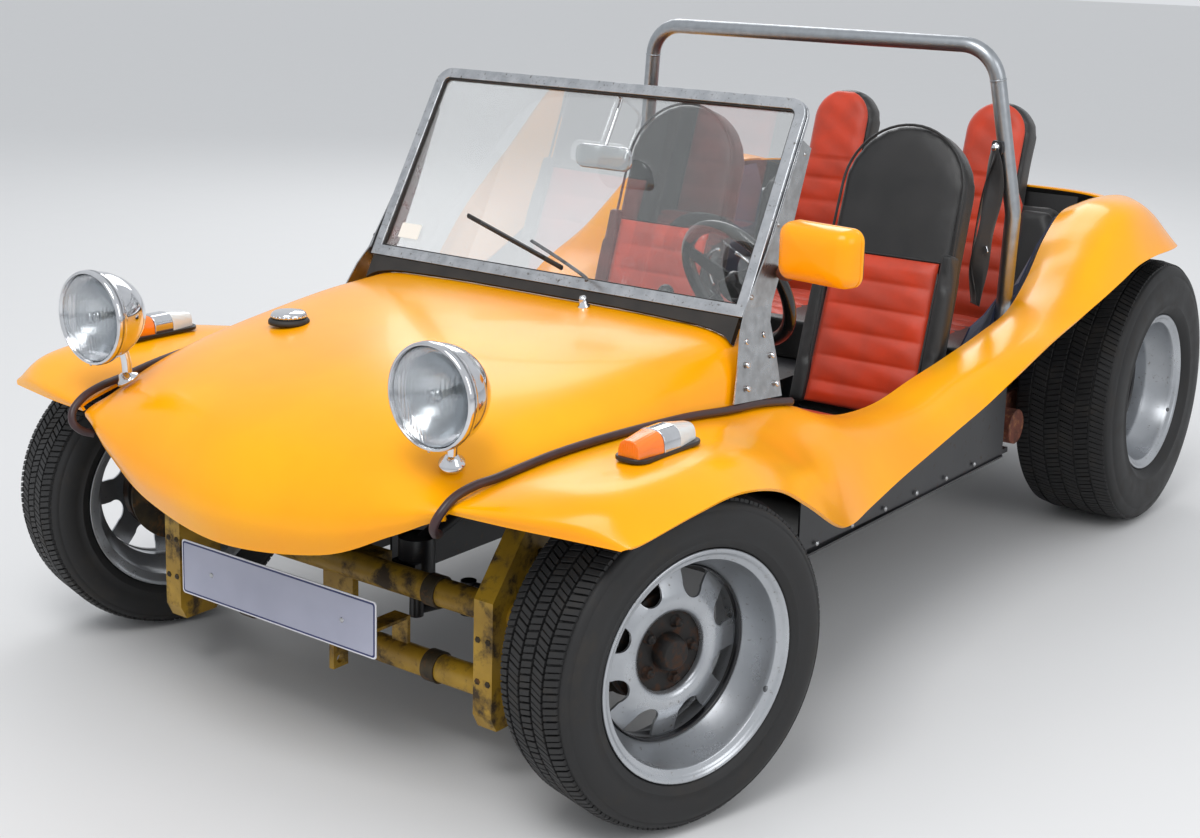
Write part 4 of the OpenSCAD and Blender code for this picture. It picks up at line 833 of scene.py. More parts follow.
# ---- lamps, plates and trim ----
@dataclass
class Trim:
    """Headlamps, indicators, tail lamps, plates and the filler cap."""
    lamp: tuple = (440.0, -357.0, 782.0)
    lens_mm: float = 86.0

    def build(self, maker: Maker) -> None:
        """Makes every lamp and plate."""
        for way in (1, -1):
            self.headlamp(maker, way)
            self.indicator(maker, way)
            self.tail_lamp(maker, way)
        self.plates(maker)
        self.cap(maker)
        log.info("trim: lamps, plates and cap")

    def headlamp(self, maker: Maker, way: int) -> None:
        """Makes one bowl headlamp on its stalk."""
        tag = "left" if way > 0 else "right"
        x, s, z = self.lamp
        place = Matrix.Translation(station(way * x, s, z)) @ Matrix.Rotation(-math.pi / 2, 4, "X")
        bowl = [(0, 108), (12, 107.4), (22, 105.4), (34, 101), (44, 96), (55, 88), (64, 78), (73, 65),
                (79, 54),
                (84, 42), (87, 30), (89, 18), (89.5, 13), (92.5, 11), (93, 8), (93, -3), (91.5, -6.5),
                (88, -8),
                (86.8, -7), (86.8, 5), (78, 6), (60, 30), (0, 84)]
        made = maker.turned("headlamp_bowl_" + tag, bowl, place, CHROME, closed=False)
        grooves = [(92.9, 1.5), (93.0, 2.0), (93.0, 6.5), (92.9, 7.0), (91.6, 6.5), (91.6, 2.0)]
        maker.turned("headlamp_band_" + tag, grooves, place, ALUMINIUM)
        mirror = [(84 * math.sin(a), 54 * math.cos(a) ** 2) for a in
                  [math.pi / 2 * k / 14 for k in range(15)]]
        maker.turned("headlamp_reflector_" + tag, mirror, place, REFLECTOR, closed=False)
        lens = [(self.lens_mm * math.sin(a), -16 + 17 * (1 - math.cos(a))) for a in
                [math.pi / 2 * k / 14 for k in range(15)]]
        glass = maker.turned("headlamp_lens_" + tag, lens + [(self.lens_mm, 4)], place, LENS, closed=False)
        maker.turned("headlamp_bulb_" + tag, [(0, 10), (7, 12), (10, 18), (9, 26), (6, 32), (6, 50),
                                              (0, 50)], place,
                     CLEAR_LENS, steps=32)
        maker.turned("headlamp_bulb_shield_" + tag, [(0, 8), (11, 9), (12, 16), (11, 17), (0, 16)], place,
                     REFLECTOR,
                     steps=32)
        foot = standing(station(way * 425, -286, 649.4), Vector((way * 0.3, -0.42, 1)))
        maker.turned("headlamp_foot_" + tag, [(0, -4), (23, -4), (23, 2), (15, 7), (11, 16), (0, 17)],
                     foot, CHROME,
                     steps=40)
        stalk = [station(way * 425, -286, 652), station(way * 427, -288, 690), station(way * 432, -296, 720)]
        maker.tube("headlamp_stalk_" + tag, smooth(stalk, 4), 10, CHROME)
        spot = place @ Matrix.Translation(Vector((0, 91.5, -4)) * MM) @ Matrix.Rotation(math.pi, 4, "X")
        maker.scattered("headlamp_screw_" + tag, dome_shape(3.5, 2.5), [spot], BRUSHED)
        if way > 0:
            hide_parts("headlamps")
            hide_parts("headlamp_lenses")

    def indicator(self, maker: Maker, way: int) -> None:
        """Makes one fender indicator: base, amber front, bright cap and clear rear."""
        tag = "left" if way > 0 else "right"
        place = Matrix.Translation(station(way * 664, -15, 659.2))

        def body(y1: float, y2: float, share1: float, share2: float, name: str,
                 finish: Finish) -> bpy.types.Object:
            """Makes one slice of the lamp's body between two places along it."""
            verts, faces = [], []
            rows = 8
            ring = 14
            for i in range(rows + 1):
                t = i / rows
                y = y1 + (y2 - y1) * t
                w = 31 * (share1 + (share2 - share1) * t)
                h = 37 * (share1 + (share2 - share1) * t) ** 0.7
                for k in range(ring + 1):
                    a = math.pi * k / ring
                    cx, sz = math.cos(a), math.sin(a)
                    verts.append((w * math.copysign(abs(cx) ** 0.7, cx) * MM, y * MM,
                                  (8 + h * sz ** 0.7) * MM))
            for i in range(rows):
                faces += [(i * (ring + 1) + k, i * (ring + 1) + k + 1, (i + 1) * (ring + 1) + k + 1,
                           (i + 1) * (ring + 1) + k) for k in range(ring)]
            faces.append(tuple(range(ring + 1)))
            faces.append(tuple(rows * (ring + 1) + k for k in range(ring, -1, -1)))
            made = maker.piece(name, verts, faces, finish, place=place)
            clean(made)
            return maker.bevelled(made, 2.0, 3)

        base = maker.prism("indicator_base_" + tag, [(x, y - 2) for x, y in rounded(34, 98, 26, 8)], 0, 8,
                           BLACK_ENAMEL,
                           2.0, place=place)
        body(-92, -28, 0.72, 1.0, "indicator_amber_" + tag, AMBER)
        body(-27.4, 22, 1.02, 1.02, "indicator_cap_" + tag, CHROME)
        body(22.6, 84, 1.0, 0.66, "indicator_clear_" + tag, CLEAR_LENS)
        if way > 0:
            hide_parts("front_indicators")

    def tail_lamp(self, maker: Maker, way: int) -> None:
        """Makes one round tail lamp."""
        tag = "left" if way > 0 else "right"
        place = Matrix.Translation(station(way * 430, 2599, 670)) @ Matrix.Rotation(-math.pi / 2, 4, "X")
        rim = maker.turned("tail_lamp_rim_" + tag, [(0, -8), (44, -8), (44, 12), (41.5, 15), (38, 15),
                                                    (38, 6), (0, 6)],
                           place, CHROME, steps=64)
        maker.turned("tail_lamp_lens_" + tag, [(0, 6), (37.6, 6), (37.6, 16), (35, 21), (24, 24.5),
                                               (0, 26)], place,
                     RED_LENS, steps=64)
        if way > 0:
            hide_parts("tail_lamps")

    def plates(self, maker: Maker) -> None:
        """Makes both blank plates, each with its printed edge and two fixings."""
        front = Matrix.Translation(station(0, -299, 305)) @ Matrix.Rotation(math.pi / 2, 4, "X")
        rear = Matrix.Translation(station(0, 2599.8, 680)) @ Matrix.Rotation(math.pi, 4, "Z") \
            @ Matrix.Rotation(math.pi / 2, 4, "X")
        for tag, place in (("front", front), ("rear", rear)):
            base = maker.prism(f"plate_{tag}_base", rounded(260, 55, 7, 5), -3, -0.6, PLATE_EDGE, 0.6,
                               place=place)
            maker.prism(f"plate_{tag}_line", rounded(257, 52, 6, 5), -0.7, -0.3, PLATE_LINE, 0.1, place=place)
            maker.prism(f"plate_{tag}_face", rounded(253.5, 48.5, 4, 5), -0.4, 0.0, PLATE_FACE, 0.1,
                        place=place)
            spots = [place @ Matrix.Translation(Vector((x, 0, 0)) * MM) for x in (-175, 175)]
            maker.scattered(f"plate_{tag}_screws", dome_shape(5, 2.4), spots, BRUSHED)
            if tag == "front":
                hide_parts("number_plates")

    def cap(self, maker: Maker) -> None:
        """Makes the filler cap on its black ring."""
        place = Matrix.Translation(station(-280, 11, 740.3))
        ring = maker.turned("filler_ring", [(0, -3), (42, -3), (42, 3), (39, 7), (34, 8), (0, 8)], place,
                            RUBBER)
        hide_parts("filler_cap")
        lid = [(0, 8), (33, 8), (36, 9.5), (36, 15), (35, 18), (31, 21), (20, 23), (0, 24)]
        maker.turned("filler_lid", lid, place, CHROME)
        knurls = [place @ Matrix.Rotation(math.pi / 12 * k, 4,
                                          "Z") @ Matrix.Translation(Vector((35.2, 0, 12.5)) * MM)
                  @ Matrix.Rotation(math.pi / 2, 4, "Y") for k in range(24)]
        maker.scattered("filler_knurls", dome_shape(3.2, 2.0), knurls, CHROME)


# ---- wheels ----
def cut(made: bpy.types.Object, tool: bpy.types.Object) -> None:
    """Cuts the tool's shape out of a piece and removes the tool."""
    change = made.modifiers.new("cut", "BOOLEAN")
    change.operation = "DIFFERENCE"
    change.solver = "EXACT"
    change.object = tool
    settle(made)
    bpy.data.objects.remove(tool)


def settle(made: bpy.types.Object) -> None:
    """Applies the piece's modifiers to its mesh."""
    seen = made.evaluated_get(bpy.context.evaluated_depsgraph_get())
    mesh = bpy.data.meshes.new_from_object(seen)
    made.modifiers.clear()
    made.data = mesh


@dataclass
class Wheel:
    """One rim with its tyre, drawn in the rim's own frame: z outboard from the inner flange."""
    tag: str
    place: Matrix
    rim_w: float
    disc_z: float
    tyre_r: float
    tyre_w: float
    ribs: int
    pitch_mm: float
    tread_mm: float
    rim_r: float = 211.0
    windows: int = 8

    def build(self, maker: Maker) -> None:
        """Makes the rim, the disc with its nuts, and the tyre."""
        self.barrel(maker)
        self.disc(maker)
        self.tyre(maker)
        log.info("wheel %s: rim, disc, hub and tyre", self.tag)

    def barrel(self, maker: Maker) -> None:
        """Turns the rim's barrel with its rolled flanges and drop centre."""
        w, r = self.rim_w, self.rim_r
        outline = [(r, 0), (r, 5), (197, 9), (194, 13), (190, 40), (166, 62), (166, w - 80), (190, w - 50),
                   (194, w - 13), (197, w - 9), (r, w - 5), (r, w - 1.5), (r - 2, w), (r - 6, w - 0.5),
                   (r - 10, w - 4),
                   (r - 14, w - 9), (189, w - 12), (186, w - 20), (184, w - 50), (163, w - 76), (160, w - 84),
                   (160, 66), (184, 42), (188, 10), (r - 10, 3), (r - 4, 0)]
        made = maker.turned(f"rim_{self.tag}", outline, self.place, WHEEL_SILVER)
        maker.bevelled(made, 1.2)
        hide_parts(f"wheel_{self.tag}")
        z = self.disc_z
        # A black band on the barrel beside the disc's edge, standing in for the dark ring there: partly black
        # paint, partly painted shade of the gap between disc and barrel.
        maker.turned(f"rim_black_and_shade_band_{self.tag}", [(159.9, z + 4), (159.9, z + 20), (158.6, z + 20),
                                              (158.6, z + 4)],
                     self.place, BLACK_ENAMEL)
        valve = self.place @ Matrix.Translation(Vector((-166, 0, w - 66)) * MM) @ Matrix.Rotation(-0.5, 4,
            "Y")
        maker.turned(f"valve_{self.tag}", [(0, -8), (5.5, -8), (5.5, 12), (4, 14), (4, 30), (0, 31)],
                     valve, RUBBER,
                     steps=20)

    def disc(self, maker: Maker) -> None:
        """Presses the disc with its open windows, over the drum, hub and nuts."""
        z = self.disc_z
        front = [(74, z + 9), (77, z + 16), (84, z + 20), (97, z + 21), (110, z + 18), (128, z + 9),
                 (146, z + 3),
                 (158, z + 1)]
        back = [(r, h - 5) for r, h in reversed(front)]
        made = maker.turned(f"disc_{self.tag}", front + back, self.place, WHEEL_SILVER)
        outline = [(190, -42), (190, 42), (152, 35)]
        outline += [(126 - 23 * math.sin(a), 24 * math.cos(a)) for a in [math.pi * k / 12 for k in range(13)]]
        outline += [(152, -35)]
        for k in range(self.windows):
            spot = self.place @ Matrix.Rotation(2 * math.pi * (k + 0.5) / self.windows, 4, "Z")
            tool = maker.prism("tool", outline, z - 20, z + 40, WHEEL_SILVER, place=spot)
            tool.modifiers.clear()
            cut(made, tool)
        for polygon in made.data.polygons:
            polygon.use_smooth = True
        maker.bevelled(made, 1.4)
        drum = [(0, z - 40), (104, z - 40), (104, z - 12), (98, z - 8), (84, z - 8), (80, z + 3), (0, z + 3)]
        maker.bevelled(maker.turned(f"drum_{self.tag}", drum, self.place, DRUM_IRON), 1.5)
        hub = [(34, z + 2), (34, z + 10), (31, z + 24), (26, z + 30), (14, z + 32), (0, z + 32)]
        maker.bevelled(maker.turned(f"hub_{self.tag}", hub + [(0, z + 2)], self.place, DRUM_IRON), 1.0)
        nuts = [self.place @ Matrix.Rotation(2 * math.pi * k / 5 + 0.3, 4, "Z")
                @ Matrix.Translation(Vector((54, 0, z + 2.5)) * MM) for k in range(5)]
        maker.scattered(f"wheel_nuts_{self.tag}", bolt_shape(19, 14), nuts, DRUM_IRON)
        weights = [self.place @ Matrix.Rotation(1.1, 4, "Z") @ Matrix.Translation(
            Vector((190, 0, self.rim_w - 15)) * MM) @ Matrix.Rotation(-math.pi / 2, 4, "Y")]
        maker.scattered(f"balance_weight_{self.tag}", dome_shape(7, 3), weights, CAST)

    def crown(self, z: float) -> float:
        """The tread's radius at a distance from the tyre's middle, in mm."""
        past = max(0.0, abs(z) - (self.tyre_w / 2 - 48)) / 21
        return self.tyre_r - 4.6 * past ** 1.5

    def tyre(self, maker: Maker) -> None:
        """Makes the tyre's carcass and its tread blocks."""
        r, m, seat = self.tyre_r, self.tyre_w / 2, self.rim_w / 2
        rise = r - self.rim_r
        edge = m - 24
        half = [(190.4, seat - 50), (194.5, seat - 12), (211.4, seat - 5.6), (213, seat - 4), (215, seat),
                (211 + rise * 0.13, m - 6), (211 + rise * 0.17, m - 2.6), (211 + rise * 0.2, m - 2.2),
                (211 + rise * 0.22, m - 3.6), (211 + rise * 0.36, m - 0.8), (211 + rise * 0.5, m - 0.3),
                (211 + rise * 0.62, m - 1.8), (211 + rise * 0.72, m - 5.2), (211 + rise * 0.74, m - 7.2),
                (211 + rise * 0.76, m - 6.4), (r - 15, m - 13), (r - 13.5, m - 15.6), (r - 12.8, m - 17),
                (self.crown(edge) - self.tread_mm, edge), (r - self.tread_mm, m - 52)]
        outline = [(q, seat + h) for q, h in half] + [(q, seat - h) for q, h in reversed(half)]
        made = maker.turned(f"tyre_{self.tag}_carcass", outline, self.place, TYRE, steps=128)
        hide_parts(f"tyre_{self.tag}")
        self.tread(maker, seat, edge + 4)

    def tread(self, maker: Maker, middle: float, half: float) -> None:
        """Sets the tread's blocks in ribs, each block split by a sipe."""
        verts, faces = [], []
        count = round(2 * math.pi * self.tyre_r / self.pitch_mm)
        groove = 5.0
        rib_w = (2 * half - groove * (self.ribs - 1)) / self.ribs
        for j in range(self.ribs):
            mid = -half + rib_w / 2 + j * (rib_w + groove)
            slant = (1 if j % 2 else -1) * self.pitch_mm * 0.16
            for k in range(count):
                for part in (0, 1):
                    gap = 2.6 if part else 1.0
                    start = (k + part * 0.5 + 0.23 * j) * self.pitch_mm
                    ends = (start, start + self.pitch_mm * 0.5 - gap)
                    first = len(verts)
                    for deep, tuck in ((self.tread_mm + 0.6, 0.0), (0.8, 0.5), (0.0, 1.1)):
                        for dz, arc in ((-1, ends[0]), (1, ends[0]), (1, ends[1]), (-1, ends[1])):
                            z = mid + dz * (rib_w / 2 - tuck)
                            along = arc + slant * dz + (tuck if arc == ends[0] else -tuck)
                            a = along / self.tyre_r
                            q = (self.crown(z) - deep) * MM
                            verts.append((q * math.cos(a), q * math.sin(a), (middle + z) * MM))
                    for i in (0, 4):
                        faces += [(first + i + n, first + i + (n + 1) % 4, first + i + 4 + (n + 1) % 4,
                                   first + i + 4 + n) for n in range(4)]
                    faces.append(tuple(first + 8 + n for n in range(4)))
        maker.piece(f"tyre_{self.tag}_tread", verts, faces, TYRE, soft=False, place=self.place)


def wheels() -> list[tuple[Wheel, str]]:
    """The four wheels, each with the body that it rides on."""
    made = []
    for way, side in ((1, "left"), (-1, "right")):
        turn = Matrix.Rotation(way * math.pi / 2, 4, "Y")
        steered = Matrix.Translation(Vector((way * 602, FRONT_Y, 305)) * MM) @ Matrix.Rotation(
            math.radians(-15.8), 4, "Z") @ turn @ Matrix.Translation(Vector((0, 0, 11)) * MM)
        made.append((Wheel(f"front_{side}", steered, 186, 92, 305, 200, 5, 25, 6.5), f"front_wheel_{side}"))
        fixed = Matrix.Translation(Vector((way * 762, REAR_Y, 354)) * MM) @ turn @ Matrix.Translation(
            Vector((0, 0, -236)) * MM)
        made.append((Wheel(f"rear_{side}", fixed, 236, 106, 354, 275, 6, 30, 4.0), f"rear_wheel_{side}"))
    return made


# ---- seats ----
@dataclass
class Stuffing:
    """How a padded piece is filled: remesh size, pressure, and how far its cover may move."""
    voxel_mm: float = 11.0
    pressure: float = 4.0
    cap_mm: float = 7.0
    frames: int = 20

    def fill(self, made: bpy.types.Object) -> None:
        """Remeshes the piece, swells its cover as cloth, and caps how far each point moved."""
        remesh = made.modifiers.new("remesh", "REMESH")
        remesh.mode = "VOXEL"
        remesh.voxel_size = self.voxel_mm * MM
        settle(made)
        before = [v.co.copy() for v in made.data.vertices]
        cloth = made.modifiers.new("cloth", "CLOTH")
        cloth.settings.use_pressure = True
        cloth.settings.uniform_pressure_force = self.pressure
        cloth.settings.effector_weights.gravity = 0
        cloth.settings.quality = 5
        cloth.point_cache.frame_start = 1
        cloth.point_cache.frame_end = self.frames
        for now in range(1, self.frames + 1):
            bpy.context.scene.frame_set(now)
        settle(made)
        for vertex, old in zip(made.data.vertices, before):
            moved = vertex.co - old
            if moved.length > self.cap_mm * MM:
                vertex.co = old + moved.normalized() * self.cap_mm * MM
        bpy.context.scene.frame_set(1)
        soften = made.modifiers.new("soften", "SMOOTH")
        soften.factor = 0.5
        soften.iterations = 3
        fine = made.modifiers.new("fine", "SUBSURF")
        fine.levels = fine.render_levels = 1
        settle(made)
        for polygon in made.data.polygons:
            polygon.use_smooth = True


def arch(half: float, low: float, centre: float, r: float, steps: int = 16) -> list[tuple]:
    """A seat back's outline in mm: straight sides that narrow to a round top."""
    turn = [(r * math.cos(math.pi * k / steps),
             centre + r * math.sin(math.pi * k / steps)) for k in range(steps + 1)]
    return [(-half, low), (half, low)] + turn


@dataclass
class Seats:
    """Two front bucket seats, and the rear bench with its two tall backs."""
    pleat_mm: float = 66.0
    stuffing: Stuffing = field(default_factory=Stuffing)

    def upright(self, maker: Maker, name: str, outline: Sequence, y1: float, y2: float, finish: Finish,
                place: Matrix, stuffing: Optional[Stuffing] = None) -> bpy.types.Object:
        """Makes a stuffed slab from an upright outline of (x, z), between two depths."""
        lie = Matrix.Rotation(math.pi / 2, 4, "X")
        made = maker.prism(name, outline, -y2, -y1, finish, place=lie)
        made.modifiers.clear()
        (stuffing or self.stuffing).fill(made)
        made.data.materials.clear()
        made.data.materials.append(finish.build())
        made.data.transform(place)
        return made

    def pleated(self, maker: Maker, name: str, sides: Callable[[float], float], low: float, high: float,
                y: float,
                deep: float, place: Matrix, top_round: float = 0.0) -> bpy.types.Object:
        """Makes a panel with sewn cross channels.

        Args:
            maker: The maker of the chassis's pieces.
            name: The piece's name.
            sides: Half width in mm at a height.
            low: Height of its lower edge.
            high: Height of its upper edge.
            y: Depth of its front at rest.
            deep: Thickness in mm.
            place: The seat back's frame.
            top_round: Height above which no channel is sewn.

        Returns:
            The panel.
        """
        rows, cols = 90, 20
        verts, faces = [], []
        for back in (0, 1):
            for i in range(rows + 1):
                t = i / rows
                z = low + (high - low) * t
                half = sides(z)
                for j in range(cols + 1):
                    u = 2 * j / cols - 1
                    from_top = high - z - top_round
                    phase = (from_top % self.pleat_mm) / self.pleat_mm if from_top > 0 else 0.5
                    puff = abs(math.sin(math.pi * phase)) ** 0.45 if from_top > 0 else 1.0
                    rim = (1 - abs(u) ** 6) * min(1.0, 14 * t, 14 * (1 - t)) ** 0.5
                    wave = 0.9 * math.sin(z * 0.09 + u * 5) * puff
                    out = (deep * 0.45 + deep * 0.55 * puff + wave) * rim
                    verts.append((u * half * MM, (y - out if not back else y + 5) * MM, z * MM))
        n = cols + 1
        size = (rows + 1) * n
        for i in range(rows):
            for j in range(cols):
                quad = (i * n + j, i * n + j + 1, (i + 1) * n + j + 1, (i + 1) * n + j)
                faces.append(quad)
                faces.append(tuple(size + k for k in reversed(quad)))
        ring = [j for j in range(n)] + [i * n + cols for i in range(1, rows + 1)] \
            + [rows * n + j for j in range(cols - 1, -1, -1)] + [i * n for i in range(rows - 1, 0, -1)]
        faces += [(ring[k], size + ring[k], size + ring[(k + 1) % len(ring)], ring[(k + 1) % len(ring)])
                  for k in range(len(ring))]
        made = maker.piece(name, verts, faces, VINYL_RED, place=place)
        clean(made)
        return made

    def piping(self, maker: Maker, name: str, line: Sequence[Vector], place: Matrix,
               r_mm: float = 4.0) -> None:
        """Sews a cord of piping along a line of points in mm."""
        maker.tube(name, [place @ (Vector(p) * MM) for p in line], r_mm, VINYL_BLACK, sides=10)

    def build(self, maker: Maker) -> None:
        """Makes the front seats and the rear bench."""
        self.front(maker)
        self.rear(maker)

    def front(self, maker: Maker) -> None:
        """Makes both front seats."""
        lean = Matrix.Rotation(-math.radians(17), 4, "X")
        for way, side, node in ((1, "left", "driver_seat"), (-1, "right", "passenger_seat")):
            place = Matrix.Translation(Vector((way * 332, 1310 + FRONT_Y, 372)) * MM) @ lean
            back = self.upright(maker, f"seat_back_{side}", arch(182, 4, 584, 173), 12, 86, VINYL_BLACK,
                                place)
            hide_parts(node)
            self.pleated(maker, f"seat_insert_{side}", lambda z: 150 - 0.02 * z, 30, 414, -1, 14, place)
            for hand in (1, -1):
                bolster = [(hand * 146, 24), (hand * 186, 24), (hand * 186, 300), (hand * 176, 440),
                           (hand * 150, 440)]
                self.upright(maker, f"seat_bolster_{side}_{'l' if hand > 0 else 'r'}", bolster[::hand],
                             -14, 40,
                             VINYL_BLACK, place, Stuffing(7.0, 4.0, 5.0))
                line = [(hand * 149, -8, z) for z in range(30, 420, 30)]
                self.piping(maker, f"seat_piping_{side}_{'l' if hand > 0 else 'r'}", line, place, 3.0)
            rim = [(x, 9, z) for x, z in arch(172, 150, 584, 164, 24)[1:]] + [(-172, 6, 150)]
            self.piping(maker, f"seat_edge_piping_{side}", rim, place, 3.5)
            self.piping(maker, f"seat_seam_{side}", [(x, 2, 418) for x in
                                                     range(-150, 151, 15)], place, 3.0)
            flat = Matrix.Translation(Vector((way * 332, 1060 + FRONT_Y, 0)) * MM)
            base = self.cushion(maker, f"seat_base_{side}", 216, 252, 334, 386, VINYL_BLACK, flat)
            lie = flat @ Matrix.Translation(Vector((0, 0, 390)) * MM) @ Matrix.Rotation(-math.pi / 2, 4, "X")
            self.pleated(maker, f"seat_base_insert_{side}", lambda z: 150.0, -200, 215, 0, 9, lie)
            for hand in (-150, 150):
                maker.box(f"seat_runner_{side}_{'l' if hand > 0 else 'r'}",
                          (way * 332 + hand - 14, 840 + FRONT_Y, 304.5),
                          (way * 332 + hand + 14, 1290 + FRONT_Y, 330),
                          BLACK_ENAMEL, 1.5)
        log.info("front seats: 2")

    def cushion(self, maker: Maker, name: str, half_x: float, half_y: float, low: float, high: float,
                finish: Finish,
                place: Matrix) -> bpy.types.Object:
        """Makes a stuffed flat cushion, crowned by its filling."""
        made = maker.prism(name, rounded(half_x, half_y, 40, 6), low, high, finish)
        made.modifiers.clear()
        self.stuffing.fill(made)
        made.data.materials.clear()
        made.data.materials.append(finish.build())
        made.data.transform(place)
        return made

    def rear(self, maker: Maker) -> None:
        """Makes the rear bench: its cushion, two backs and two headrests."""
        lean = Matrix.Rotation(-math.radians(16), 4, "X")
        for way, side in ((1, "left"), (-1, "right")):
            place = Matrix.Translation(Vector((0, 2030 + FRONT_Y, 410)) * MM) @ lean @ Matrix.Translation(
                Vector((way * 245, 0, 0)) * MM)
            slab = [(-224, 66), (224, 66), (224, 400), (205, 440), (-205, 440), (-224, 400)]
            back = self.upright(maker, f"rear_back_{side}", slab, 12, 86, VINYL_BLACK, place)
            head = self.upright(maker, f"rear_headrest_{side}", arch(100, 400, 624, 101), 22, 80,
                                VINYL_BLACK, place)
            if way > 0:
                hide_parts("rear_seat_backs")

            def sides(z: float) -> float:
                """Half width of the tall red panel at a height: wide below, a round head above."""
                if z < 430:
                    return 120.0
                if z < 622:
                    return 120 - 34 * min(1.0, (z - 430) / 60)
                return 86 * math.sqrt(max(0.02, 1 - ((z - 622) / 86) ** 2))
            self.pleated(maker, f"rear_insert_{side}", sides, 90, 704, 5, 13, place, top_round=200.0)
            for hand in (1, -1):
                bolster = [(hand * 122, 78), (hand * 220, 78), (hand * 220, 380), (hand * 200, 420),
                           (hand * 122, 420)]
                self.upright(maker, f"rear_bolster_{side}_{'l' if hand > 0 else 'r'}", bolster[::hand], -6,
                             40,
                             VINYL_BLACK, place, Stuffing(8.0, 4.0, 5.0))
        flat = Matrix.Translation(Vector((0, 1830 + FRONT_Y, 0)) * MM)
        base = self.cushion(maker, "rear_cushion", 462, 200, 408, 518, VINYL_BLACK, flat)
        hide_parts("rear_seat_cushion")
        for way in (1, -1):
            lie = Matrix.Translation(Vector((way * 232, 1830 + FRONT_Y, 520)) * MM) @ Matrix.Rotation(
                -math.pi / 2, 4, "X")
            self.pleated(maker, f"rear_base_insert_{'left' if way > 0 else 'right'}", lambda z: 150.0,
                         -165, 165, 0,
                         10, lie)
        log.info("rear bench: 2 backs, 2 headrests, 1 cushion")


# ---- hoop, belt and controls ----
def eased(corners: Sequence, radius_mm: float, steps: int = 8) -> list[Vector]:
    """A path in metres through corners in mm, with each inner corner rounded."""
    row = [Vector(c) for c in corners]
    path = [row[0]]
    for a, b, c in zip(row, row[1:], row[2:]):
        back, ahead = a - b, c - b
        reach = min(radius_mm / math.tan(back.angle(ahead) / 2), back.length * 0.45, ahead.length * 0.45)
        start, end = b + back.normalized() * reach, b + ahead.normalized() * reach
        for k in range(steps + 1):
            t = k / steps
            path.append(start.lerp(b, t).lerp(b.lerp(end, t), t))
    path.append(row[-1])
    return [p * MM for p in path]


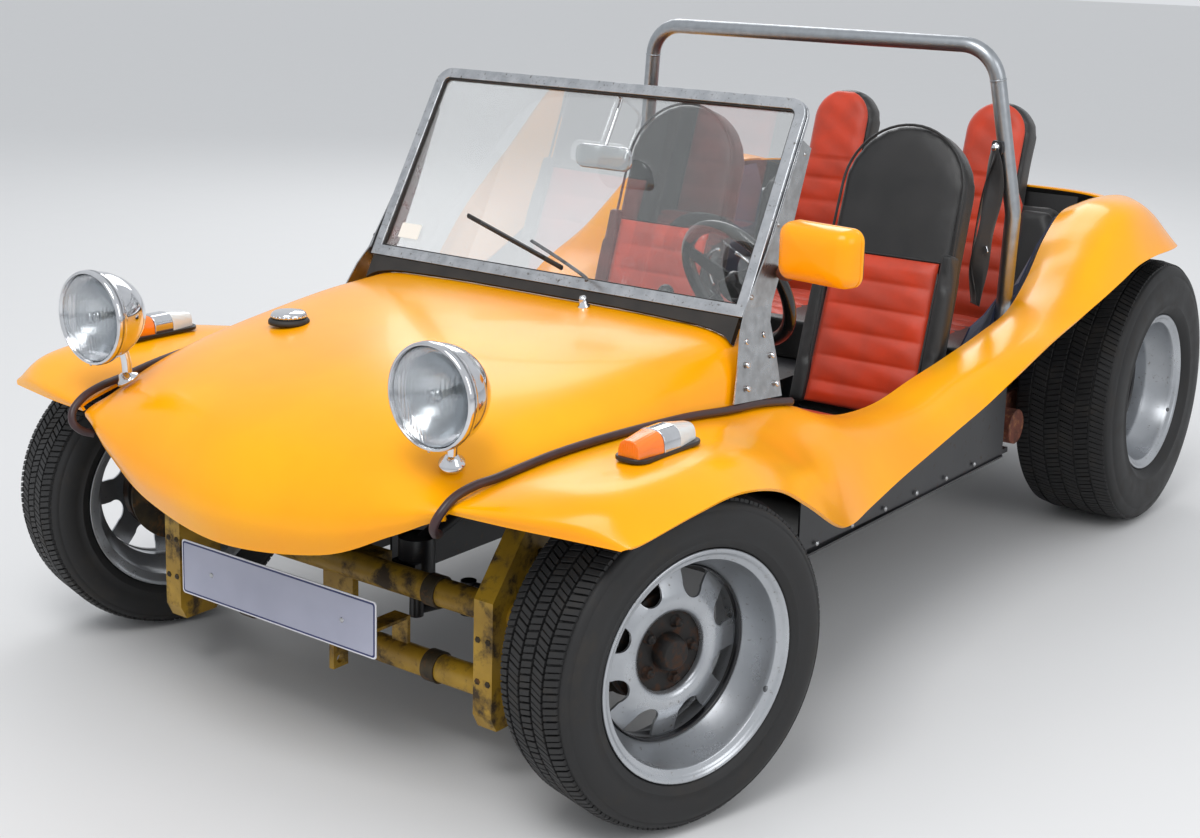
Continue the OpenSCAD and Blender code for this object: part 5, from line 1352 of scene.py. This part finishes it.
@dataclass
class Hoop:
    """The galvanised roll hoop in one bent tube, its joints and feet, and the belt on it."""
    tube_r: float = 19.5
    bend_r: float = 95.0

    def corners(self, way: int) -> list[Vector]:
        """Points in mm down one leg, from its bend to its foot."""
        lean, splay = math.radians(7), math.radians(8)
        down = Vector((math.sin(splay), math.cos(splay) * math.sin(lean), -math.cos(splay) * math.cos(lean)))
        top = []
        for k in range(11):
            a = math.radians(8.2 * k)
            d = self.bend_r * (math.cos(a) - 1)
            top.append(Vector((417.4 + self.bend_r * math.sin(a), 390.2 - d * math.sin(lean),
                               1285 + d * math.cos(lean))))
        start = Vector((500, 390.2, 1285)) + 82.6 * down
        knee = start + down * ((start.z - 876) / -down.z)
        low = [knee, Vector((531, 1697 + FRONT_Y, 640)), Vector((530, 1671 + FRONT_Y, 380))]
        return [Vector((way * p.x, p.y, p.z)) for p in top + low]

    def build(self, maker: Maker) -> None:
        """Makes the tube, its sleeves and feet, and the hanging belt."""
        left, right = self.corners(1), self.corners(-1)
        path = [p * MM for p in reversed(right[:11])] + [p * MM for p in left[:11]]
        ends = [eased([leg[10], leg[11], leg[12], leg[13]], 90) for leg in (right, left)]
        hoop = maker.tube("hoop_tube", list(reversed(ends[0][1:])) + path + ends[1][1:], self.tube_r,
                          GALVANISED, 40)
        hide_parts("roll_hoop")
        for leg, side in ((left, "left"), (right, "right")):
            down = (leg[11] - leg[10]).normalized()
            seam = Matrix.Translation(leg[10] * MM) @ standing(Vector(), down)
            maker.turned(f"hoop_joint_{side}", [(19, -3), (20.4, -1.5), (20.6, 0), (20.4, 1.5), (19, 3)],
                         seam,
                         GALVANISED)
            foot = standing(leg[13] * MM, Vector((0, 0, 1)))
            maker.turned(f"hoop_foot_{side}", [(0, 0.5), (34, 0.5), (34, 6), (24, 8), (20, 12), (0, 12)],
                         foot,
                         BLACK_ENAMEL)
        self.belt(maker, left)
        log.info("hoop: tube, 2 joints, 2 feet and the belt")

    def belt(self, maker: Maker, leg: list[Vector]) -> None:
        """Hangs the belt from its bolt on the car-left leg."""
        down = (leg[11] - leg[10]).normalized()
        bolt = leg[10] + down * ((leg[10].z - 1040) / -down.z)
        face = Vector((-0.55, -0.83, 0)).normalized()
        spot = standing((bolt + face * 19) * MM, face)
        plate = maker.prism("belt_bracket", rounded(17, 24, 12, 6), 0, 7, BLACK_ENAMEL, place=spot)
        maker.scattered("belt_bolt", bolt_shape(19, 9),
                        [spot @ Matrix.Translation(Vector((0, 0, 7)) * MM)], CHROME)
        top = bolt + face * 31
        out = Vector((0.83, -0.55, 0))
        lower = Vector((top.x - 24, top.y - 6, 646))
        runs = (("belt_strap_a", -3.0, -42.0, 0.9), ("belt_strap_b", 3.0, 20.0, -1.4))
        for name, shift, spread, twist in runs:
            verts, faces = [], []
            n = 56
            for i in range(n + 1):
                t = i / n
                mid = top.lerp(lower, t) + out * (shift + spread * math.sin(math.pi * min(t * 1.08, 1)) * 0.6)
                mid += face * (6 * math.sin(t * 7 + shift))
                a = twist * math.sin(math.pi * t) + 0.25 * math.sin(9 * t)
                wide = (out * math.cos(a) + face * math.sin(a)) * (23.5 - 9 * math.exp(-(t / 0.05) ** 2))
                for k in range(5):
                    verts.append((mid + wide * (k / 2 - 1)) * MM)
            for i in range(n):
                faces += [(i * 5 + k, i * 5 + k + 1, i * 5 + k + 6, i * 5 + k + 5) for k in range(4)]
            strap = maker.piece(name, verts, faces, WEBBING)
            fold = strap.modifiers.new("thickness", "SOLIDIFY")
            fold.thickness = 1.6 * MM
            fold.offset = 0
            if name.endswith("a"):
                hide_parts("seat_belt")
        slide = top.lerp(lower, 0.56) + out * 6
        frame_at = standing(slide * MM, face)
        maker.prism("belt_slider", rounded(34, 6, 5, 4), -5, 5, BLACK_ENAMEL, place=frame_at)
        tongue = standing((slide + Vector((6, -8, -34))) * MM, face, 0.5)
        maker.prism("belt_tongue", rounded(9, 17, 3, 3), -1.5, 1.5, CHROME, 0.6, place=tongue)


@dataclass
class Controls:
    """The hand wheel, gauges, levers and pedals."""
    centre: Vector = field(default_factory=lambda: station(325, 761, 795))
    axis: Vector = field(default_factory=lambda: Vector((0.19669, 0.87288, 0.44654)))

    def build(self, maker: Maker) -> None:
        """Makes the levers, pedals, stalk and gauges on the chassis."""
        stick = maker.tube("gear_stick", eased([(0, 900 + FRONT_Y, 424), (0, 900 + FRONT_Y, 500),
                                                (0, 960 + FRONT_Y, 688)], 60), 6.5, CHROME)
        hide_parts("driver_controls")
        knob = [(20 * math.sin(math.pi * k / 16), -20 * math.cos(math.pi * k / 16)) for k in range(17)]
        maker.turned("gear_knob", knob, Matrix.Translation(station(0, 962, 700)), GRIP, closed=False,
                     steps=40)
        boot = [(40, 0), (38, 8), (30, 10), (28, 18), (20, 21), (18, 30), (11, 34), (8, 46), (6, 46), (6, 0)]
        maker.turned("gear_boot", boot, Matrix.Translation(station(0, 900, 421)), RUBBER, steps=48)
        maker.tube("handbrake", eased([(45, 1170 + FRONT_Y, 422), (45, 1170 + FRONT_Y, 442),
                                       (45, 1000 + FRONT_Y, 476)], 20), 8.5, BLACK_ENAMEL)
        for x, tag in ((180, "clutch"), (260, "brake"), (345, "throttle")):
            maker.tube(f"pedal_{tag}_arm", [station(x, 440, 302), station(x, 478, 450)], 7, BLACK_ENAMEL)
            maker.box(f"pedal_{tag}_pad", (x - 25, 474 + FRONT_Y, 440), (x + 25, 484 + FRONT_Y, 490),
                      RUBBER, 2.5)
        self.gauges(maker)

    def gauges(self, maker: Maker) -> None:
        """Sets the two round gauges into the dashboard's rear face."""
        face_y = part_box("dashboard")[1][1] / MM
        for k, (x, r) in enumerate(((185, 43), (395, 43))):
            at = standing(Vector((x, face_y - 6, 680)) * MM, Vector((0, 1, 0)))
            rim = [(r - 4, 0), (r, 0), (r, 6), (r - 2, 8), (r - 5, 8), (r - 6, 5)]
            maker.turned(f"gauge_rim_{k}", rim, at, CHROME, steps=64)
            maker.turned(f"gauge_face_{k}", [(0, 2), (r - 5, 2), (r - 5, 3), (0, 3)], at, DIAL, steps=48)

    def hand_wheel(self, maker: Maker) -> None:
        """Makes the steering wheel around its column's axis."""
        place = standing(self.centre, self.axis)
        ring = [(145 + 15 * math.cos(a), 13.5 * math.sin(a)) for a in [math.pi * k / 12 for k in range(24)]]
        rim = maker.turned("wheel_grip", ring, place, GRIP, steps=112)
        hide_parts("steering_wheel")
        hub = [(0, -30), (30, -30), (33, -8), (31, 6), (24, 11), (10, 13), (0, 13)]
        maker.bevelled(maker.turned("wheel_hub", hub, place, GRIP), 2)
        down = place.inverted().to_3x3() @ Vector((0, 0, -1))
        start = math.atan2(down.y, down.x)
        for k in range(3):
            spot = place @ Matrix.Rotation(start + 2 * math.pi * k / 3, 4, "Z")
            spoke = [(20, -24), (136, -17), (136, 17), (20, 24)]
            maker.prism(f"wheel_spoke_{k}", spoke, -9, -3, ABS, 2.5, spot)
            arc = [spot @ (Vector((88 * math.cos(a), 88 * math.sin(a), 1)) * MM)
                   for a in [-0.75 + 1.5 * j / 20 for j in range(21)]]
            maker.tube(f"horn_ring_{k}", arc, 4, CHROME)
        log.info("steering wheel: grip, hub, 3 spokes, horn ring")


# ---- running gear ----
@dataclass
class RunningGear:
    """Finishes of the mechanical nodes, and the small parts bolted to them."""

    def build(self, maker: Maker) -> None:
        """Coats the mechanical nodes and adds their bolts, clamps and fins."""
        coat(OCHRE, "front_beam")
        coat(GRIMY_IRON, "knuckle_left", "knuckle_right", "trailing_arms", "gearbox", "swing_axles")
        coat(RUST, "torsion_housing")
        coat(EXHAUST_STEEL, "exhaust")
        coat(CAST, "engine")
        coat(BLACK_ENAMEL, "dampers", "tie_rod_left", "tie_rod_right", "pitman_arm", "steering_column",
             "fan_shroud")
        self.beam(maker)
        self.engine(maker)

    def beam(self, maker: Maker) -> None:
        """Adds the beam's clamps, bolts and arm nuts."""
        y = -125 + FRONT_Y
        for way, side in ((1, "left"), (-1, "right")):
            nuts = [standing(Vector((way * 476.5, y, z)) * MM, Vector((way, 0, 0))) for z in (180, 330)]
            maker.scattered(f"arm_nuts_{side}", bolt_shape(30, 16), nuts, GRIMY_IRON)
            heads = [standing(Vector((way * (418 + dx), y - 60, z)) * MM, Vector((0, -1, 0)))
                     for dx, z in ((-12, 215), (12, 215), (-12, 295), (12, 295))]
            maker.scattered(f"tower_bolts_{side}", bolt_shape(13, 7), heads, GRIMY_IRON)
            for z in (180, 330):
                band = standing(Vector((way * 250, y, z)) * MM, Vector((1, 0, 0)))
                made = maker.turned(f"beam_clamp_{side}_{z}", [(26, -16), (31, -16), (31, 16), (26, 16)],
                                    band,
                                    GRIMY_IRON)
                maker.bevelled(made, 2)

    def engine(self, maker: Maker) -> None:
        """Adds the cylinders' fins."""
        for s in (2480, 2640):
            for way in (1, -1):
                lie = standing(Vector((0, s + FRONT_Y, 354)) * MM, Vector((way, 0, 0)))
                comb = [(58, 138)]
                for k in range(18):
                    comb += [(63, 140 + 11 * k), (63, 143 + 11 * k), (58, 145 + 11 * k), (58, 149 + 11 * k)]
                side = "left" if way > 0 else "right"
                maker.turned(f"cylinder_fins_{side}_{s}", comb + [(50, 345), (50, 138)], lie, CAST, steps=64)


# ---- studio ----
@dataclass
class Studio:
    """The floor, the soft light and the camera."""
    azimuth: float = math.radians(36.843)
    elevation: float = math.radians(12.167)
    roll: float = math.radians(1.442)
    place: Vector = field(default_factory=lambda: Vector((2.3627, -3.7117, 1.5482)))

    def light(self, name: str, at: Sequence, size: float, watts: float, hue: str = "#ffffff") -> None:
        """Stands a square soft light at a point, facing the car."""
        lamp = bpy.data.lights.new(name, "AREA")
        lamp.shape = "SQUARE"
        lamp.size = size
        lamp.energy = watts
        lamp.color = linear(hue)[:3]
        made = bpy.data.objects.new(name, lamp)
        made.location = at
        made.rotation_euler = (Vector((0, 0, 0.5)) - Vector(at)).to_track_quat("-Z", "Y").to_euler()
        bpy.context.scene.collection.objects.link(made)

    def build(self) -> None:
        """Lays the floor, sets the lights and the camera."""
        mesh = bpy.data.meshes.new("studio_floor")
        mesh.from_pydata([(x, y, -0.002) for x, y in ((-40, -40), (40, -40), (40, 40), (-40, 40))], [],
                         [(0, 1, 2, 3)])
        mesh.materials.append(FLOOR.build())
        floor = bpy.data.objects.new("studio_floor", mesh)
        bpy.context.scene.collection.objects.link(floor)
        world = bpy.data.worlds.new("studio_air")
        world.use_nodes = True
        world.node_tree.nodes["Background"].inputs["Color"].default_value = linear("#eef1f5")
        world.node_tree.nodes["Background"].inputs["Strength"].default_value = 0.85
        bpy.context.scene.world = world
        bpy.context.scene.view_settings.view_transform = "Standard"
        self.light("key_light", (1.2, -4.0, 5.5), 3.0, 190)
        self.light("fill_light", (5.5, -1.0, 3.0), 3.0, 60)
        self.light("back_light", (-3.5, 4.5, 4.5), 3.5, 110)
        self.camera()

    def camera(self) -> None:
        """Sets the camera, with a small shift and no blur."""
        lens = bpy.data.cameras.new("camera")
        lens.sensor_width = 36
        lens.lens = 54.06
        lens.shift_x = 0.0109
        lens.shift_y = -0.0882
        seen = bpy.data.objects.new("camera", lens)
        a, e, r = self.azimuth, self.elevation, self.roll
        back = Vector((math.sin(a) * math.cos(e), -math.cos(a) * math.cos(e), math.sin(e)))
        right = (-back).cross(Vector((0, 0, 1))).normalized()
        up = right.cross(-back)
        turn = Matrix((right * math.cos(r) + up * math.sin(r), -right * math.sin(r) + up * math.cos(r), back))
        seen.matrix_world = Matrix.Translation(self.place) @ turn.transposed().to_4x4()
        bpy.context.scene.collection.objects.link(seen)
        bpy.context.scene.camera = seen


def main() -> None:
    """Builds the whole visual model."""
    chassis = Maker("chassis")
    Body().build(chassis)
    Windscreen().build(chassis)
    Trim().build(chassis)
    Seats().build(chassis)
    Hoop().build(chassis)
    controls = Controls()
    controls.build(chassis)
    controls.hand_wheel(Maker("hand_wheel"))
    for wheel, body in wheels():
        wheel.build(Maker(body))
    RunningGear().build(chassis)
    Studio().build()


if __name__ == "__main__":
    main()
